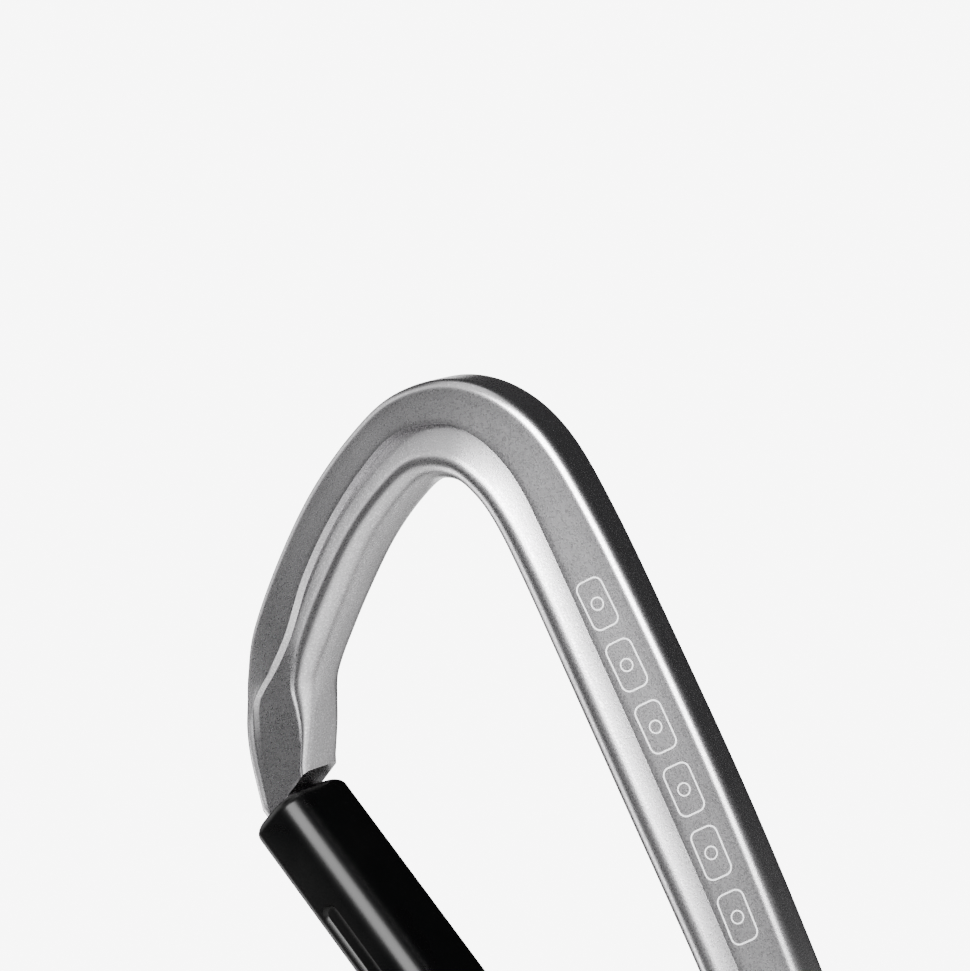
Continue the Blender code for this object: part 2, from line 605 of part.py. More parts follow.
def build_keeper(group, cutters, frame, material):
    """Rubber sleeve round the lower loop, with side holes that grip the carabiner's bar."""
    name = "rubber_keeper"
    outer = loop_path(WEB_THICKNESS + GAP + KEEPER_WALL, KEEPER_FOOT)
    cavity = loop_path(WEB_THICKNESS + GAP)
    keeper = place(name, outline_mesh(name, outer, KEEPER_HALF_WIDTH, "X"), group, frame, material)
    offset = Matrix.Translation((WEB_CENTRE_X, 0, THROAT_Z))
    keeper.data.transform(offset)
    bevel(keeper, 0.5 * MM)
    room = outline_mesh(name + "_room", cavity + [(-2.6 * MM, -2 * MM), (2.6 * MM, -2 * MM)],
                        WEB_WIDTH / 2 + GAP, "X")
    room.transform(offset)
    cut(keeper, room, cutters)
    middle_z = LOOP_TOP - 6.0 * MM
    bar_hole = cylinder_mesh(name + "_bar_hole", 1.0, (-1, 0, 0), (1, 0, 0), 28)
    bar_hole.transform(Matrix.Translation((WEB_CENTRE_X, 0, middle_z))
                       @ Matrix.Diagonal((20 * MM, 4.4 * MM, 7.2 * MM, 1.0)))
    cut(keeper, bar_hole, cutters)
    return keeper


def build_quickdraw():
    clear_scene()
    group = make_collection("climbing_quickdraw")
    cutters = make_collection("cutters")
    looks = {
        "forged_aluminium": make_material("forged_aluminium", (0.33, 0.33, 0.35), 0.38, 1.0),
        "black_gate": make_material("black_gate", (0.012, 0.012, 0.013), 0.16, 0.3),
        "rivet_steel": make_material("rivet_steel", (0.55, 0.55, 0.54), 0.3, 1.0),
        "spring_steel": make_material("spring_steel", (0.6, 0.6, 0.58), 0.25, 1.0),
        "dark_webbing": make_material("dark_webbing", (0.045, 0.046, 0.05), 0.85, 0.0),
        "orange_thread": make_material("orange_thread", (0.75, 0.2, 0.03), 0.75, 0.0),
        "label_fabric": make_material("label_fabric", (0.7, 0.7, 0.68), 0.8, 0.0),
        "keeper_rubber": make_material("keeper_rubber", (0.02, 0.02, 0.02), 0.6, 0.0),
    }
    top = make_frame("top_carabiner_frame", group, (0, 0, 0), (0, 0, 0))
    bottom = make_frame("bottom_carabiner_frame", group, (0, 0, BOTTOM_ORIGIN_Z), (math.pi, 0, 0))
    build_carabiner("top", group, cutters, top, looks, 0.0)
    build_carabiner("bottom", group, cutters, bottom, looks, GATE_BEND)
    build_loop("sling_upper_loop", group, cutters, top, looks["dark_webbing"])
    build_loop("sling_lower_loop", group, cutters, bottom, looks["dark_webbing"])
    build_shank(group, looks)
    build_keeper(group, cutters, bottom, looks["keeper_rubber"])


build_quickdraw()
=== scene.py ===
"""Looks of the climbing quickdraw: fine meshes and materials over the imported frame."""
import math
from collections import namedtuple

import bmesh
import bpy
from mathutils import Matrix, Vector


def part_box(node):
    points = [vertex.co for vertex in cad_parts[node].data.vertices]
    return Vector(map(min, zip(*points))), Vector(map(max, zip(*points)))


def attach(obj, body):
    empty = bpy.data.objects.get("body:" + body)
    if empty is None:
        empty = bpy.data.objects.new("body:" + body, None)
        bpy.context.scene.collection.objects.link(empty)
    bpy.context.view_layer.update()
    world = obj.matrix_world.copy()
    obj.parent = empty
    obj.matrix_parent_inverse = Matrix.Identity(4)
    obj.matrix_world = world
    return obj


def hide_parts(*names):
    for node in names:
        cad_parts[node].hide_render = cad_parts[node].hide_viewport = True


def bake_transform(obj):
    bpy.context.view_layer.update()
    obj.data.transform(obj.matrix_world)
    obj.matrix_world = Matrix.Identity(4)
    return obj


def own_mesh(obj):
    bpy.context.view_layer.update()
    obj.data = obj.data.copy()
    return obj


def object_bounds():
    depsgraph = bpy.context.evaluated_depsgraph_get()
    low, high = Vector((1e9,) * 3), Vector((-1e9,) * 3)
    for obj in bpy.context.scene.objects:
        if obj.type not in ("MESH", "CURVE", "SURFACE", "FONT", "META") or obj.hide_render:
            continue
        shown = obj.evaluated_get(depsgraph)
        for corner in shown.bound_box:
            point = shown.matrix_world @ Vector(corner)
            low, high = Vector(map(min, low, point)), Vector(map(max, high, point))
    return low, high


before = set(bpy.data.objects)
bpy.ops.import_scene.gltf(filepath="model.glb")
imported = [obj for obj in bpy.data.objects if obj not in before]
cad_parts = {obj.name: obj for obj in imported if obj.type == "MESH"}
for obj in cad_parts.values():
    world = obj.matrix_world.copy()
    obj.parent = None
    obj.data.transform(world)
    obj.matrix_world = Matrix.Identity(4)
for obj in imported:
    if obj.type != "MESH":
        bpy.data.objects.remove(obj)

MM = 0.001
cad_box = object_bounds()

# Carabiner, as in the CAD
HINGE = (-20.4 * MM, -72.3 * MM)
GATE_LEAN = math.radians(17.2)
GATE_OUTER, GATE_INNER = -3.7 * MM, 3.9 * MM
GATE_HALF_WIDTH = 5.2 * MM
GATE_FULL_CORNER = 2.9 * MM
GATE_TIGHT_CORNER = 1.3 * MM
GATE_TOP = 52.45 * MM
RIVET_RADIUS = 1.5 * MM
RIVET_HEAD_RADIUS = 2.4 * MM
TANG_HALF_WIDTH = 2.0 * MM
NOSE_HALF_WIDTH = 2.7 * MM
NOSE_NECK_HALF_WIDTH = 1.6 * MM
NOSE_BULB_HALF_WIDTH = 2.5 * MM
NOSE_DEPTH = (-1.95 * MM, 1.3 * MM)
NOSE_BULB = (44.5 * MM, 47.2 * MM)
NOSE_NECK_TOP = 50.0 * MM
NOSE_SHOULDER = 52.95 * MM
NOSE_OUTER, NOSE_INNER = -3.1 * MM, 5.6 * MM
POCKET_X = -1.2 * MM
BORE_RADIUS = 1.9 * MM
BORE_TOP = 19.5 * MM
FORK_CROTCH = 6.0 * MM
PLUNGER_TOP = 10.1 * MM
SPRING_RADIUS = 1.3 * MM
SPRING_WIRE = 0.22 * MM
SPRING_TURNS = 6
GATE_BEND = 3.5 * MM
BEND_START, BEND_END = 14.0 * MM, 46.0 * MM
GAP = 0.3 * MM

# Sling, as in the CAD
WEB_WIDTH = 12.0 * MM
WEB_THICKNESS = 2.0 * MM
WEB_CENTRE_X = -5.8 * MM
LOOP_TOP = -78.9 * MM
LOOP_RADIUS = 4.7 * MM
THROAT = 22.0 * MM
SEAM = 0.15 * MM
TACK_HALF_WIDTH = 4.9 * MM
TACK_LENGTH = 8.0 * MM
KEEPER_WALL = 1.5 * MM
KEEPER_HALF_WIDTH = 8.0 * MM
KEEPER_FOOT = 3.8 * MM

THROAT_Z = LOOP_TOP - THROAT
SHANK_LOW, SHANK_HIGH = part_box("sling_front_layer")
SLING_MIDDLE_Z = (SHANK_LOW.z + SHANK_HIGH.z) / 2
BOTTOM_ORIGIN_Z = 2 * SLING_MIDDLE_Z
SURFACE_Y = SEAM + WEB_THICKNESS

# A carabiner is built upright; these matrices put it in its place
TOP = Matrix.Identity(4)
BOTTOM = Matrix.Translation((0, 0, BOTTOM_ORIGIN_Z)) @ Matrix.Rotation(math.pi, 4, "X")
GATE_FRAME = Matrix.Translation((HINGE[0], 0, HINGE[1])) @ Matrix.Rotation(-GATE_LEAN, 4, "Y")

# One cross-section of the bar, in mm. plate is the flat raised side's width from the back, back
# and crest its half thickness at its two ends, fall the drop per mm of the slope beyond it, flank
# the low ground's half thickness, bead and round those of the rounded inner side.
Row = namedtuple("Row", "outer inner plate back crest fall flank bead round")

ARCH_AND_SPINE = (
    Row((-39.4, -21.6), (-30.2, -19.3), 1.8, 2.6, 2.70, 0.30, 2.65, 2.70, (1.1, 1.1)),
    Row((-38.1, -16.3), (-28.0, -16.4), 1.8, 2.6, 2.70, 0.30, 2.60, 2.70, (1.2, 1.2)),
    Row((-36.8, -13.1), (-26.5, -14.2), 1.8, 2.6, 2.75, 0.30, 2.50, 2.80, (1.7, 1.6)),
    Row((-35.2, -10.6), (-25.0, -12.3), 1.9, 2.6, 2.90, 0.33, 2.35, 3.00, (2.5, 2.5)),
    Row((-33.4, -7.9), (-23.4, -11.0), 3.8, 2.6, 3.00, 0.36, 2.20, 3.15, (2.9, 2.9)),
    Row((-29.9, -3.9), (-21.0, -9.4), 5.1, 2.6, 3.10, 0.38, 2.20, 3.30, (3.1, 3.1)),
    Row((-22.5, 1.3), (-16.3, -6.4), 4.4, 2.6, 3.20, 0.40, 2.20, 3.40, (3.0, 3.3)),
    Row((-14.4, 5.7), (-10.2, -2.9), 4.2, 2.6, 3.25, 0.40, 2.20, 3.50, (2.8, 3.4)),
    Row((-6.1, 8.6), (-4.4, -0.7), 3.9, 2.6, 3.30, 0.40, 2.20, 3.50, (2.7, 3.4)),
    Row((0.6, 9.6), (0.0, 0.0), 3.8, 2.6, 3.30, 0.42, 2.20, 3.50, (2.7, 3.4)),
    Row((7.6, 8.1), (3.4, -1.5), 4.2, 2.6, 3.30, 0.42, 2.20, 3.50, (2.8, 3.4)),
    Row((12.9, 4.1), (5.0, -4.2), 4.8, 2.6, 3.30, 0.40, 2.20, 3.55, (3.0, 3.5)),
    Row((16.2, -2.0), (5.7, -7.8), 5.3, 2.5, 3.30, 0.40, 2.20, 3.60, (3.3, 3.6)),
    Row((17.5, -11.0), (5.9, -14.0), 5.7, 2.3, 3.30, 0.38, 2.20, 3.65, (3.5, 3.65)),
    Row((18.0, -25.0), (5.9, -25.0), 6.0, 2.1, 3.30, 0.36, 2.20, 3.65, (3.5, 3.65)),
    Row((18.1, -40.0), (5.9, -40.0), 6.1, 2.1, 3.30, 0.36, 2.20, 3.65, (3.5, 3.65)),
    Row((17.6, -54.0), (5.9, -54.0), 5.8, 2.2, 3.30, 0.36, 2.20, 3.65, (3.5, 3.65)),
    Row((16.7, -65.0), (5.6, -64.0), 5.3, 2.3, 3.30, 0.38, 2.20, 3.65, (3.4, 3.65)),
    Row((14.5, -76.0), (5.0, -73.2), 4.6, 2.4, 3.30, 0.40, 2.20, 3.65, (3.3, 3.6)),
    Row((9.7, -84.4), (2.9, -78.2), 4.1, 2.5, 3.30, 0.40, 2.20, 3.60, (3.2, 3.6)),
    Row((2.8, -89.0), (-0.6, -80.4), 3.9, 2.5, 3.30, 0.40, 2.20, 3.60, (3.2, 3.6)),
    Row((-5.2, -90.2), (-5.6, -80.8), 3.8, 2.5, 3.30, 0.40, 2.20, 3.60, (3.2, 3.6)),
    Row((-12.3, -88.9), (-10.4, -80.5), 3.6, 2.6, 3.30, 0.38, 2.40, 3.60, (3.0, 3.5)),
    Row((-18.2, -85.0), (-13.6, -79.1), 3.0, 2.8, 3.40, 0.30, 2.90, 3.65, (2.6, 2.8)),
    Row((-22.3, -79.0), (-15.3, -77.1), 1.8, 3.1, 3.60, 0.20, 3.50, 3.70, (2.0, 2.0)),
)
ROWS_PER_SPAN = 9
CORNER_RADIUS = 1.1
CREST_BEVEL = 0.05                      # half width of the crisp edge's tiny bevel, in mm
GENTLE_CREST, STEEP_CREST = 3.0, 3.3    # half thickness at the crisp edge where its inner side is...
GENTLE_WIDTH, GENTLE_FALL = 0.85, 0.34  # ...gentle: its width in mm, and the drop per mm
STEEP_WIDTH = 0.35                      # ...or steep: its width in mm
NOMINAL_FALL = 0.4                      # the row's fall at which GENTLE_FALL holds
RAMP_SLOPE = 0.37                       # rise per mm from the valley's floor to the raised bead
RAMP_HOLLOW = 0.15                      # how much of the ramp's rise is put off to its upper end
BEAD_TIGHTNESS = 0.80                   # the bead's top stands nearer to the inner side
BEAD_START, BEAD_END = 113.0, 8.0       # where the bead's curve meets the ramp and ends, in degrees

# Etched pattern on the spine, in mm; across is measured from the back
MARK_COUNT, MARK_PITCH, MARK_TOP = 6, 6.6, -19.0
MARK_ACROSS = 3.8
MARK_HALF_LENGTH, MARK_HALF_WIDTH, MARK_CORNER = 2.5, 1.4, 0.8
MARK_RING_RADIUS = 0.62
MARK_LINE, MARK_RING_LINE = 0.16, 0.14

# Groove in the gate's side, and the rivet's head
POCKET_ENDS = (13 * MM, 39.5 * MM)
POCKET_LEVELS = ((-0.5, 0.75), (-0.42, 0.9), (0.0, 1.15), (0.3, 1.25))  # (height, half width), mm
RIVET_HEAD_TOP = GATE_HALF_WIDTH + 0.18 * MM
RIVET_HEAD_EDGE = GATE_HALF_WIDTH - 0.12 * MM

# Stitching and the keeper's grip
TAIL_SINK = 0.25 * MM                   # how far the tail is pressed into the layer under it
TACK_COLUMNS, TACK_ROWS = 3, 24
TACK_ZIGZAG = 0.09 * MM
TACK_THREAD, SEAM_THREAD = 0.165 * MM, 0.17 * MM
SEAM_STEP, SEAM_LENGTH = 2.3 * MM, 1.7 * MM
SEAM_ACROSS = 2.6 * MM
KEEPER_ROUNDING = 0.7 * MM
RIB_COUNT, RIB_PITCH, RIB_START = 4, 1.5, 1.6
RIB_RADIUS, RIB_HALF_LENGTH = 0.38 * MM, 5.6 * MM

# Studio: each light is (name, azimuth, elevation, (width, height), power), aimed at LIGHT_TARGET
LIGHT_TARGET = Vector((0, 0, -0.03))
LIGHT_DISTANCE = 0.9
LIGHTS = (
    ("key_softbox", 27, 23, (0.65, 0.68), 39.0),
    ("left_softbox", -80, -3, (0.45, 0.45), 2.6),
    ("upper_left_softbox", -84, 38, (0.6, 0.55), 1.5),
    ("rim_softbox", -138, 12, (0.3, 0.8), 1.6),
    ("front_softbox", -38, 52, (0.6, 0.4), 0.8),
    ("top_softbox", 10, 80, (0.6, 0.5), 1.2),
)
FLOOR_DROP, FLOOR_SIZE = 45 * MM, 2.2
FLOOR_GLOW = 6.8                        # keeps the far floor as pale as the near floor
BACKDROP_STRENGTH, FILL_STRENGTH = 8.0, 0.03

# Camera: degrees, metres and millimetres of lens
CAMERA_AZIMUTH, CAMERA_ELEVATION, CAMERA_ROLL = 39.5, -8.0, -24.2
CAMERA_DISTANCE = 0.350
CAMERA_AIM = Vector((0.0028, 0.0028, -0.0024))
CAMERA_LENS = 128.5


# Materials

class Nodes:
    """A small helper that adds and links shader nodes."""

    def __init__(self, name):
        self.material = bpy.data.materials.new(name)
        self.material.use_nodes = True
        self.tree = self.material.node_tree
        self.shader = self.tree.nodes["Principled BSDF"]

    def add(self, kind, **settings):
        node = self.tree.nodes.new(kind)
        for key, value in settings.items():
            setattr(node, key, value)
        return node

    def link(self, source, target):
        self.tree.links.new(source, target)

    def coordinates(self, kind="Object"):
        return self.add("ShaderNodeTexCoord").outputs[kind]

    def noise(self, vector, scale, detail=2.0, roughness=0.5):
        node = self.add("ShaderNodeTexNoise")
        node.inputs["Scale"].default_value = scale
        node.inputs["Detail"].default_value = detail
        node.inputs["Roughness"].default_value = roughness
        self.link(vector, node.inputs["Vector"])
        return node.outputs["Fac"]

    def ramp(self, value, stops):
        node = self.add("ShaderNodeValToRGB")
        elements = node.color_ramp.elements
        while len(elements) < len(stops):
            elements.new(0.5)
        for element, (position, level) in zip(elements, stops):
            element.position = position
            colour = level if isinstance(level, tuple) else (level, level, level)
            element.color = (*colour, 1.0)
        self.link(value, node.inputs["Fac"])
        return node.outputs["Color"]

    def math(self, operation, a, b=None):
        node = self.add("ShaderNodeMath", operation=operation)
        for socket, value in zip(node.inputs, (a, b)):
            if value is None:
                continue
            if isinstance(value, (int, float)):
                socket.default_value = value
            else:
                self.link(value, socket)
        return node.outputs[0]

    def mix(self, factor, a, b):
        node = self.add("ShaderNodeMix", data_type="RGBA")
        for socket, value in ((node.inputs[0], factor), (node.inputs[6], a), (node.inputs[7], b)):
            if isinstance(value, tuple):
                socket.default_value = (*value, 1.0)
            elif isinstance(value, (int, float)):
                socket.default_value = value
            else:
                self.link(value, socket)
        return node.outputs[2]

    def bump(self, height, distance, strength):
        node = self.add("ShaderNodeBump")
        node.inputs["Distance"].default_value = distance
        node.inputs["Strength"].default_value = strength
        self.link(height, node.inputs["Height"])
        return node.outputs["Normal"]

    def set(self, **values):
        for key, value in values.items():
            socket = self.shader.inputs[key.replace("_", " ")]
            if isinstance(value, tuple):
                socket.default_value = (*value, 1.0)
            elif isinstance(value, (int, float)):
                socket.default_value = value
            else:
                self.link(value, socket)
        return self.material


def forged_aluminium():
    """Satin grey anodising over a bead-blasted surface, with a fine sparkle."""
    n = Nodes("forged_aluminium")
    position = n.coordinates()
    grain = n.noise(position, 5200.0, 1.0, 0.4)
    broad = n.noise(position, 160.0, 3.0, 0.6)
    tint = n.ramp(broad, ((0.3, (0.54, 0.53, 0.545)), (0.7, (0.62, 0.61, 0.625))))
    sparkle = n.ramp(grain, ((0.30, 0.78), (0.60, 1.0), (0.74, 1.35)))
    colour = n.add("ShaderNodeMix", data_type="RGBA", blend_type="MULTIPLY")
    colour.inputs[0].default_value = 1.0
    n.link(tint, colour.inputs[6])
    n.link(sparkle, colour.inputs[7])
    rough = n.ramp(grain, ((0.35, 0.33), (0.70, 0.25)))
    bump = n.bump(grain, 0.010 * MM, 0.55)
    return n.set(Base_Color=colour.outputs[2], Metallic=1.0, Roughness=rough, Normal=bump)


def etched_marking():
    n = Nodes("etched_marking")
    grain = n.noise(n.coordinates(), 5200.0, 1.0, 0.4)
    colour = n.ramp(grain, ((0.3, (0.72, 0.72, 0.73)), (0.7, (0.88, 0.88, 0.89))))
    bump = n.bump(grain, 0.008 * MM, 0.5)
    return n.set(Base_Color=colour, Metallic=0.75, Roughness=0.5, Normal=bump)


def black_gate():
    """Gloss black anodising with faint handling marks."""
    n = Nodes("black_gate")
    position = n.coordinates()
    smudge = n.noise(position, 90.0, 4.0, 0.6)
    fine = n.noise(position, 2600.0, 2.0, 0.5)
    colour = n.ramp(smudge, ((0.3, (0.0007, 0.0007, 0.0008)), (0.75, (0.0015, 0.0014, 0.0014))))
    rough = n.ramp(smudge, ((0.35, 0.27), (0.75, 0.34)))
    bump = n.bump(fine, 0.0012 * MM, 0.35)
    return n.set(Base_Color=colour, Roughness=rough, Specular_IOR_Level=0.18, Normal=bump)


def bright_steel(name, scale):
    """Bright steel with fine scratches left by the tool."""
    n = Nodes(name)
    position = n.coordinates()
    marks = n.noise(position, scale, 3.0, 0.6)
    colour = n.ramp(marks, ((0.3, (0.58, 0.58, 0.575)), (0.7, (0.74, 0.74, 0.73))))
    rough = n.ramp(marks, ((0.3, 0.24), (0.7, 0.38)))
    bump = n.bump(marks, 0.006 * MM, 0.5)
    return n.set(Base_Color=colour, Metallic=1.0, Roughness=rough, Normal=bump)


def webbing():
    """Flat tubular webbing: a fine twill of yarns, with an orange tracer near each edge."""
    n = Nodes("dark_webbing")
    split = n.add("ShaderNodeSeparateXYZ")
    n.link(n.coordinates("UV"), split.inputs[0])
    along, across = split.outputs[0], split.outputs[1]
    pitch = 0.62
    column = n.math("MULTIPLY", across, 1.0 / pitch)
    stagger = n.math("MULTIPLY", n.math("FLOOR", column), 0.5)
    row = n.math("ADD", n.math("MULTIPLY", along, 1.0 / 0.95), stagger)
    yarn_across = n.math("SINE", n.math("MULTIPLY", n.math("FRACT", column), math.pi))
    yarn_along = n.math("SINE", n.math("MULTIPLY", n.math("FRACT", row), math.pi))
    yarn = n.math("MULTIPLY", n.math("POWER", yarn_across, 0.6), n.math("POWER", yarn_along, 0.45))
    position = n.coordinates()
    fibre = n.noise(position, 5200.0, 2.0, 0.6)
    dust = n.noise(position, 260.0, 4.0, 0.6)
    height = n.math("ADD", yarn, n.math("MULTIPLY", fibre, 0.25))
    # Painted shade: each yarn's colour darkens towards its edges, into the hollows of the weave
    shade = n.ramp(yarn, ((0.1, (0.002, 0.002, 0.0022)), (0.9, (0.013, 0.013, 0.014))))
    # Real dust, mixed over the yarns' painted shade
    worn_and_shaded = n.mix(n.ramp(dust, ((0.45, 0.0), (0.8, 0.3))), shade, (0.022, 0.0215, 0.021))
    edge = n.math("ABSOLUTE", across)
    tracer = n.math("MULTIPLY", n.math("GREATER_THAN", edge, 3.72), n.math("LESS_THAN", edge, 4.34))
    # The orange tracer carries the same painted shade in the hollows of the weave
    orange = n.ramp(yarn, ((0.1, (0.10, 0.014, 0.002)), (0.9, (0.34, 0.055, 0.006))))
    colour = n.mix(tracer, worn_and_shaded, orange)
    bump = n.bump(height, 0.16 * MM, 0.85)
    return n.set(Base_Color=colour, Roughness=0.82, Sheen_Weight=0.03, Sheen_Roughness=0.5,
                 Specular_IOR_Level=0.15, Normal=bump)


def thread():
    n = Nodes("orange_thread")
    position = n.coordinates()
    twist = n.noise(position, 4200.0, 2.0, 0.5)
    colour = n.ramp(twist, ((0.3, (0.20, 0.028, 0.003)), (0.7, (0.38, 0.065, 0.008))))
    bump = n.bump(twist, 0.04 * MM, 0.6)
    return n.set(Base_Color=colour, Roughness=0.6, Sheen_Weight=0.03, Specular_IOR_Level=0.2, Normal=bump)


def label_fabric():
    """Blank woven label with a plain ruled border."""
    n = Nodes("label_fabric")
    split = n.add("ShaderNodeSeparateXYZ")
    n.link(n.coordinates("UV"), split.inputs[0])
    weft = n.math("SINE", n.math("MULTIPLY", split.outputs[0], 2 * math.pi / 0.24))
    warp = n.math("SINE", n.math("MULTIPLY", split.outputs[1], 2 * math.pi / 0.3))
    weave = n.math("MULTIPLY", weft, warp)
    inside = n.math("MULTIPLY", n.math("LESS_THAN", n.math("ABSOLUTE", split.outputs[0]), 3.9),
                    n.math("LESS_THAN", n.math("ABSOLUTE", split.outputs[1]), 3.1))
    # Painted shade: the weave's low cells are painted darker, as the hollows of the cloth
    shaded_cloth = n.ramp(weave, ((0.2, (0.16, 0.16, 0.155)), (0.8, (0.26, 0.26, 0.25))))
    colour = n.mix(inside, (0.022, 0.022, 0.023), shaded_cloth)
    return n.set(Base_Color=colour, Roughness=0.8, Normal=n.bump(weave, 0.03 * MM, 0.7))


def keeper_rubber():
    n = Nodes("keeper_rubber")
    position = n.coordinates()
    skin = n.noise(position, 1500.0, 3.0, 0.6)
    dust = n.noise(position, 140.0, 4.0, 0.65)
    colour = n.ramp(dust, ((0.35, (0.003, 0.003, 0.003)), (0.8, (0.010, 0.0097, 0.0094))))
    rough = n.ramp(dust, ((0.3, 0.5), (0.8, 0.68)))
    bump = n.bump(skin, 0.03 * MM, 0.5)
    return n.set(Base_Color=colour, Roughness=rough, Specular_IOR_Level=0.25, Normal=bump)


def floor_material():
    n = Nodes("floor")
    cloud = n.noise(n.coordinates(), 3.0, 2.0, 0.5)
    colour = n.ramp(cloud, ((0.3, (0.60, 0.60, 0.595)), (0.7, (0.64, 0.64, 0.635))))
    seen = n.math("MULTIPLY", n.add("ShaderNodeLightPath").outputs["Is Camera Ray"], FLOOR_GLOW)
    return n.set(Base_Color=colour, Roughness=0.75, Emission_Color=(1.0, 1.0, 1.0), Emission_Strength=seen)


# Mesh helpers

def mesh_from(bm, name):
    bmesh.ops.recalc_face_normals(bm, faces=bm.faces)
    mesh = bpy.data.meshes.new(name)
    bm.to_mesh(mesh)
    bm.free()
    return mesh


def place(name, mesh, material, matrix=TOP, angle=35):
    """A new object whose mesh is put in the row frame, smooth apart from its real edges."""
    mesh.transform(matrix)
    mesh.materials.clear()
    mesh.materials.append(material)
    mesh.shade_smooth()
    mesh.set_sharp_from_angle(angle=math.radians(angle))
    thing = bpy.data.objects.new(name, mesh)
    bpy.context.scene.collection.objects.link(thing)
    return thing


def finish_piece(thing, body, slot, *nodes):
    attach(thing, body)
    if nodes:
        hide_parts(*nodes)


def box_mesh(low, high):
    size = Vector(high) - Vector(low)
    centre = (Vector(high) + Vector(low)) / 2
    bm = bmesh.new()
    matrix = Matrix.Translation(centre) @ Matrix.Diagonal((*size, 1.0))
    bmesh.ops.create_cube(bm, size=1.0, matrix=matrix)
    return mesh_from(bm, "box")


def cylinder_mesh(radius, start, end, sides=64):
    start, end = Vector(start), Vector(end)
    turn = (end - start).to_track_quat("Z", "Y").to_matrix().to_4x4()
    bm = bmesh.new()
    bmesh.ops.create_cone(bm, cap_ends=True, segments=sides, radius1=radius, radius2=radius,
                          depth=(end - start).length, matrix=Matrix.Translation((start + end) / 2) @ turn)
    return mesh_from(bm, "cylinder")


def prism_mesh(points, half_depth):
    """A flat outline of (y, z) points, extruded both ways across X."""
    bm = bmesh.new()
    near = [bm.verts.new((h, -half_depth, v)) for h, v in points]
    far = [bm.verts.new((h, half_depth, v)) for h, v in points]
    bm.faces.new(near)
    bm.faces.new(reversed(far))
    for k in range(len(points)):
        bm.faces.new((near[k - 1], near[k], far[k], far[k - 1]))
    mesh = mesh_from(bm, "prism")
    mesh.transform(Matrix.Rotation(math.pi / 2, 4, "Z"))
    return mesh


def cut_away(mesh, others):
    """The mesh with each other mesh cut from it."""
    for other in others:
        base = bpy.data.objects.new("base", mesh)
        tool = bpy.data.objects.new("tool", other)
        bpy.context.scene.collection.objects.link(base)
        bpy.context.scene.collection.objects.link(tool)
        modifier = base.modifiers.new("cut", "BOOLEAN")
        modifier.operation = "DIFFERENCE"
        modifier.solver = "EXACT"
        modifier.object = tool
        graph = bpy.context.evaluated_depsgraph_get()
        result = bpy.data.meshes.new_from_object(base.evaluated_get(graph))
        bpy.data.objects.remove(base, do_unlink=True)
        bpy.data.objects.remove(tool, do_unlink=True)
        mesh = result
    return mesh


def loft_mesh(rings):
    bm = bmesh.new()
    loops = [[bm.verts.new(point) for point in ring] for ring in rings]
    count = len(loops[0])
    for near, far in zip(loops, loops[1:]):
        for k in range(count):
            bm.faces.new((near[k], near[(k + 1) % count], far[(k + 1) % count], far[k]))
    bm.faces.new(loops[0])
    bm.faces.new(reversed(loops[-1]))
    return mesh_from(bm, "loft")


# Carabiner body

def arc(centre, radii, first, last, count):
    step = (last - first) / (count - 1)
    spots = [math.radians(first + step * k) for k in range(count)]
    return [(centre[0] + radii[0] * math.cos(a), centre[1] + radii[1] * math.sin(a)) for a in spots]


def plate_span(row):
    """Where the flat raised side starts and ends, from the back."""
    width = (Vector(row.outer) - Vector(row.inner)).length
    radius = min(CORNER_RADIUS, row.back - 0.5, width / 4)
    return radius, max(row.plate, radius + 0.2)


def plate_height(row, s):
    """Half thickness of the flat raised side, s mm from the back."""
    radius, plate = plate_span(row)
    return row.back + (row.crest - row.back) * (s - radius) / (plate - radius)


def half_section(row):
    """(distance from the back, half thickness) from the back to the inner side, in mm."""
    width = (Vector(row.outer) - Vector(row.inner)).length
    radius, plate = plate_span(row)
    round_in, round_across = row.round
    round_in *= BEAD_TIGHTNESS
    bead_in, bead_across = width - round_in, row.bead - round_across

    def bead(degrees):
        angle = math.radians(degrees)
        return (bead_in + round_in * math.cos(angle), bead_across + round_across * math.sin(angle))

    steep = min(max((row.crest - GENTLE_CREST) / (STEEP_CREST - GENTLE_CREST), 0.0), 1.0)
    top_in, top_height = bead(BEAD_START)
    foot = plate + GENTLE_WIDTH + (STEEP_WIDTH - GENTLE_WIDTH) * steep
    foot = min(foot, top_in - 0.4)
    shallow = row.crest - GENTLE_FALL * GENTLE_WIDTH * row.fall / NOMINAL_FALL
    deep = min(top_height - RAMP_SLOPE * (top_in - foot), row.crest - 0.1)
    low = max(shallow + (deep - shallow) * steep, row.flank)
    bevel = min(CREST_BEVEL, (plate - radius) / 8)
    points = [(0.0, (row.back - radius) * 0.5)]
    points += arc((radius, row.back - radius), (radius, radius), 180, 96, 9)
    for k in range(1, 6):
        s = radius + (plate - radius) * k / 6
        points.append((s, plate_height(row, s)))
    points.append((plate - bevel, plate_height(row, plate - bevel) - 0.005))
    for k in range(6):
        t = k / 5
        s = plate + bevel + (foot - plate - bevel) * t
        points.append((s, row.crest - 0.01 + (low - row.crest) * t))
    for k in range(1, 16):
        t = k / 16
        rise = (1 - RAMP_HOLLOW + RAMP_HOLLOW * t) * t
        points.append((foot + (top_in - foot) * t, low + (top_height - low) * rise))
    for k in range(18):
        points.append(bead(BEAD_START + (BEAD_END - BEAD_START) * k / 17))
    return points


def section_ring(row):
    outer, inner = Vector(row.outer), Vector(row.inner)
    inward = (inner - outer).normalized()
    half = half_section(row)
    ring = []
    for s, y in [(s, -y) for s, y in half] + [(s, y) for s, y in reversed(half)]:
        spot = outer + inward * s
        ring.append(Vector((spot.x, y, spot.y)) * MM)
    return ring


def blend_value(a, b, c, d, t):
    """Catmull-Rom between b and c."""
    return 0.5 * (2 * b + (c - a) * t + (2 * a - 5 * b + 4 * c - d) * t * t
                  + (3 * b - a - 3 * c + d) * t ** 3)


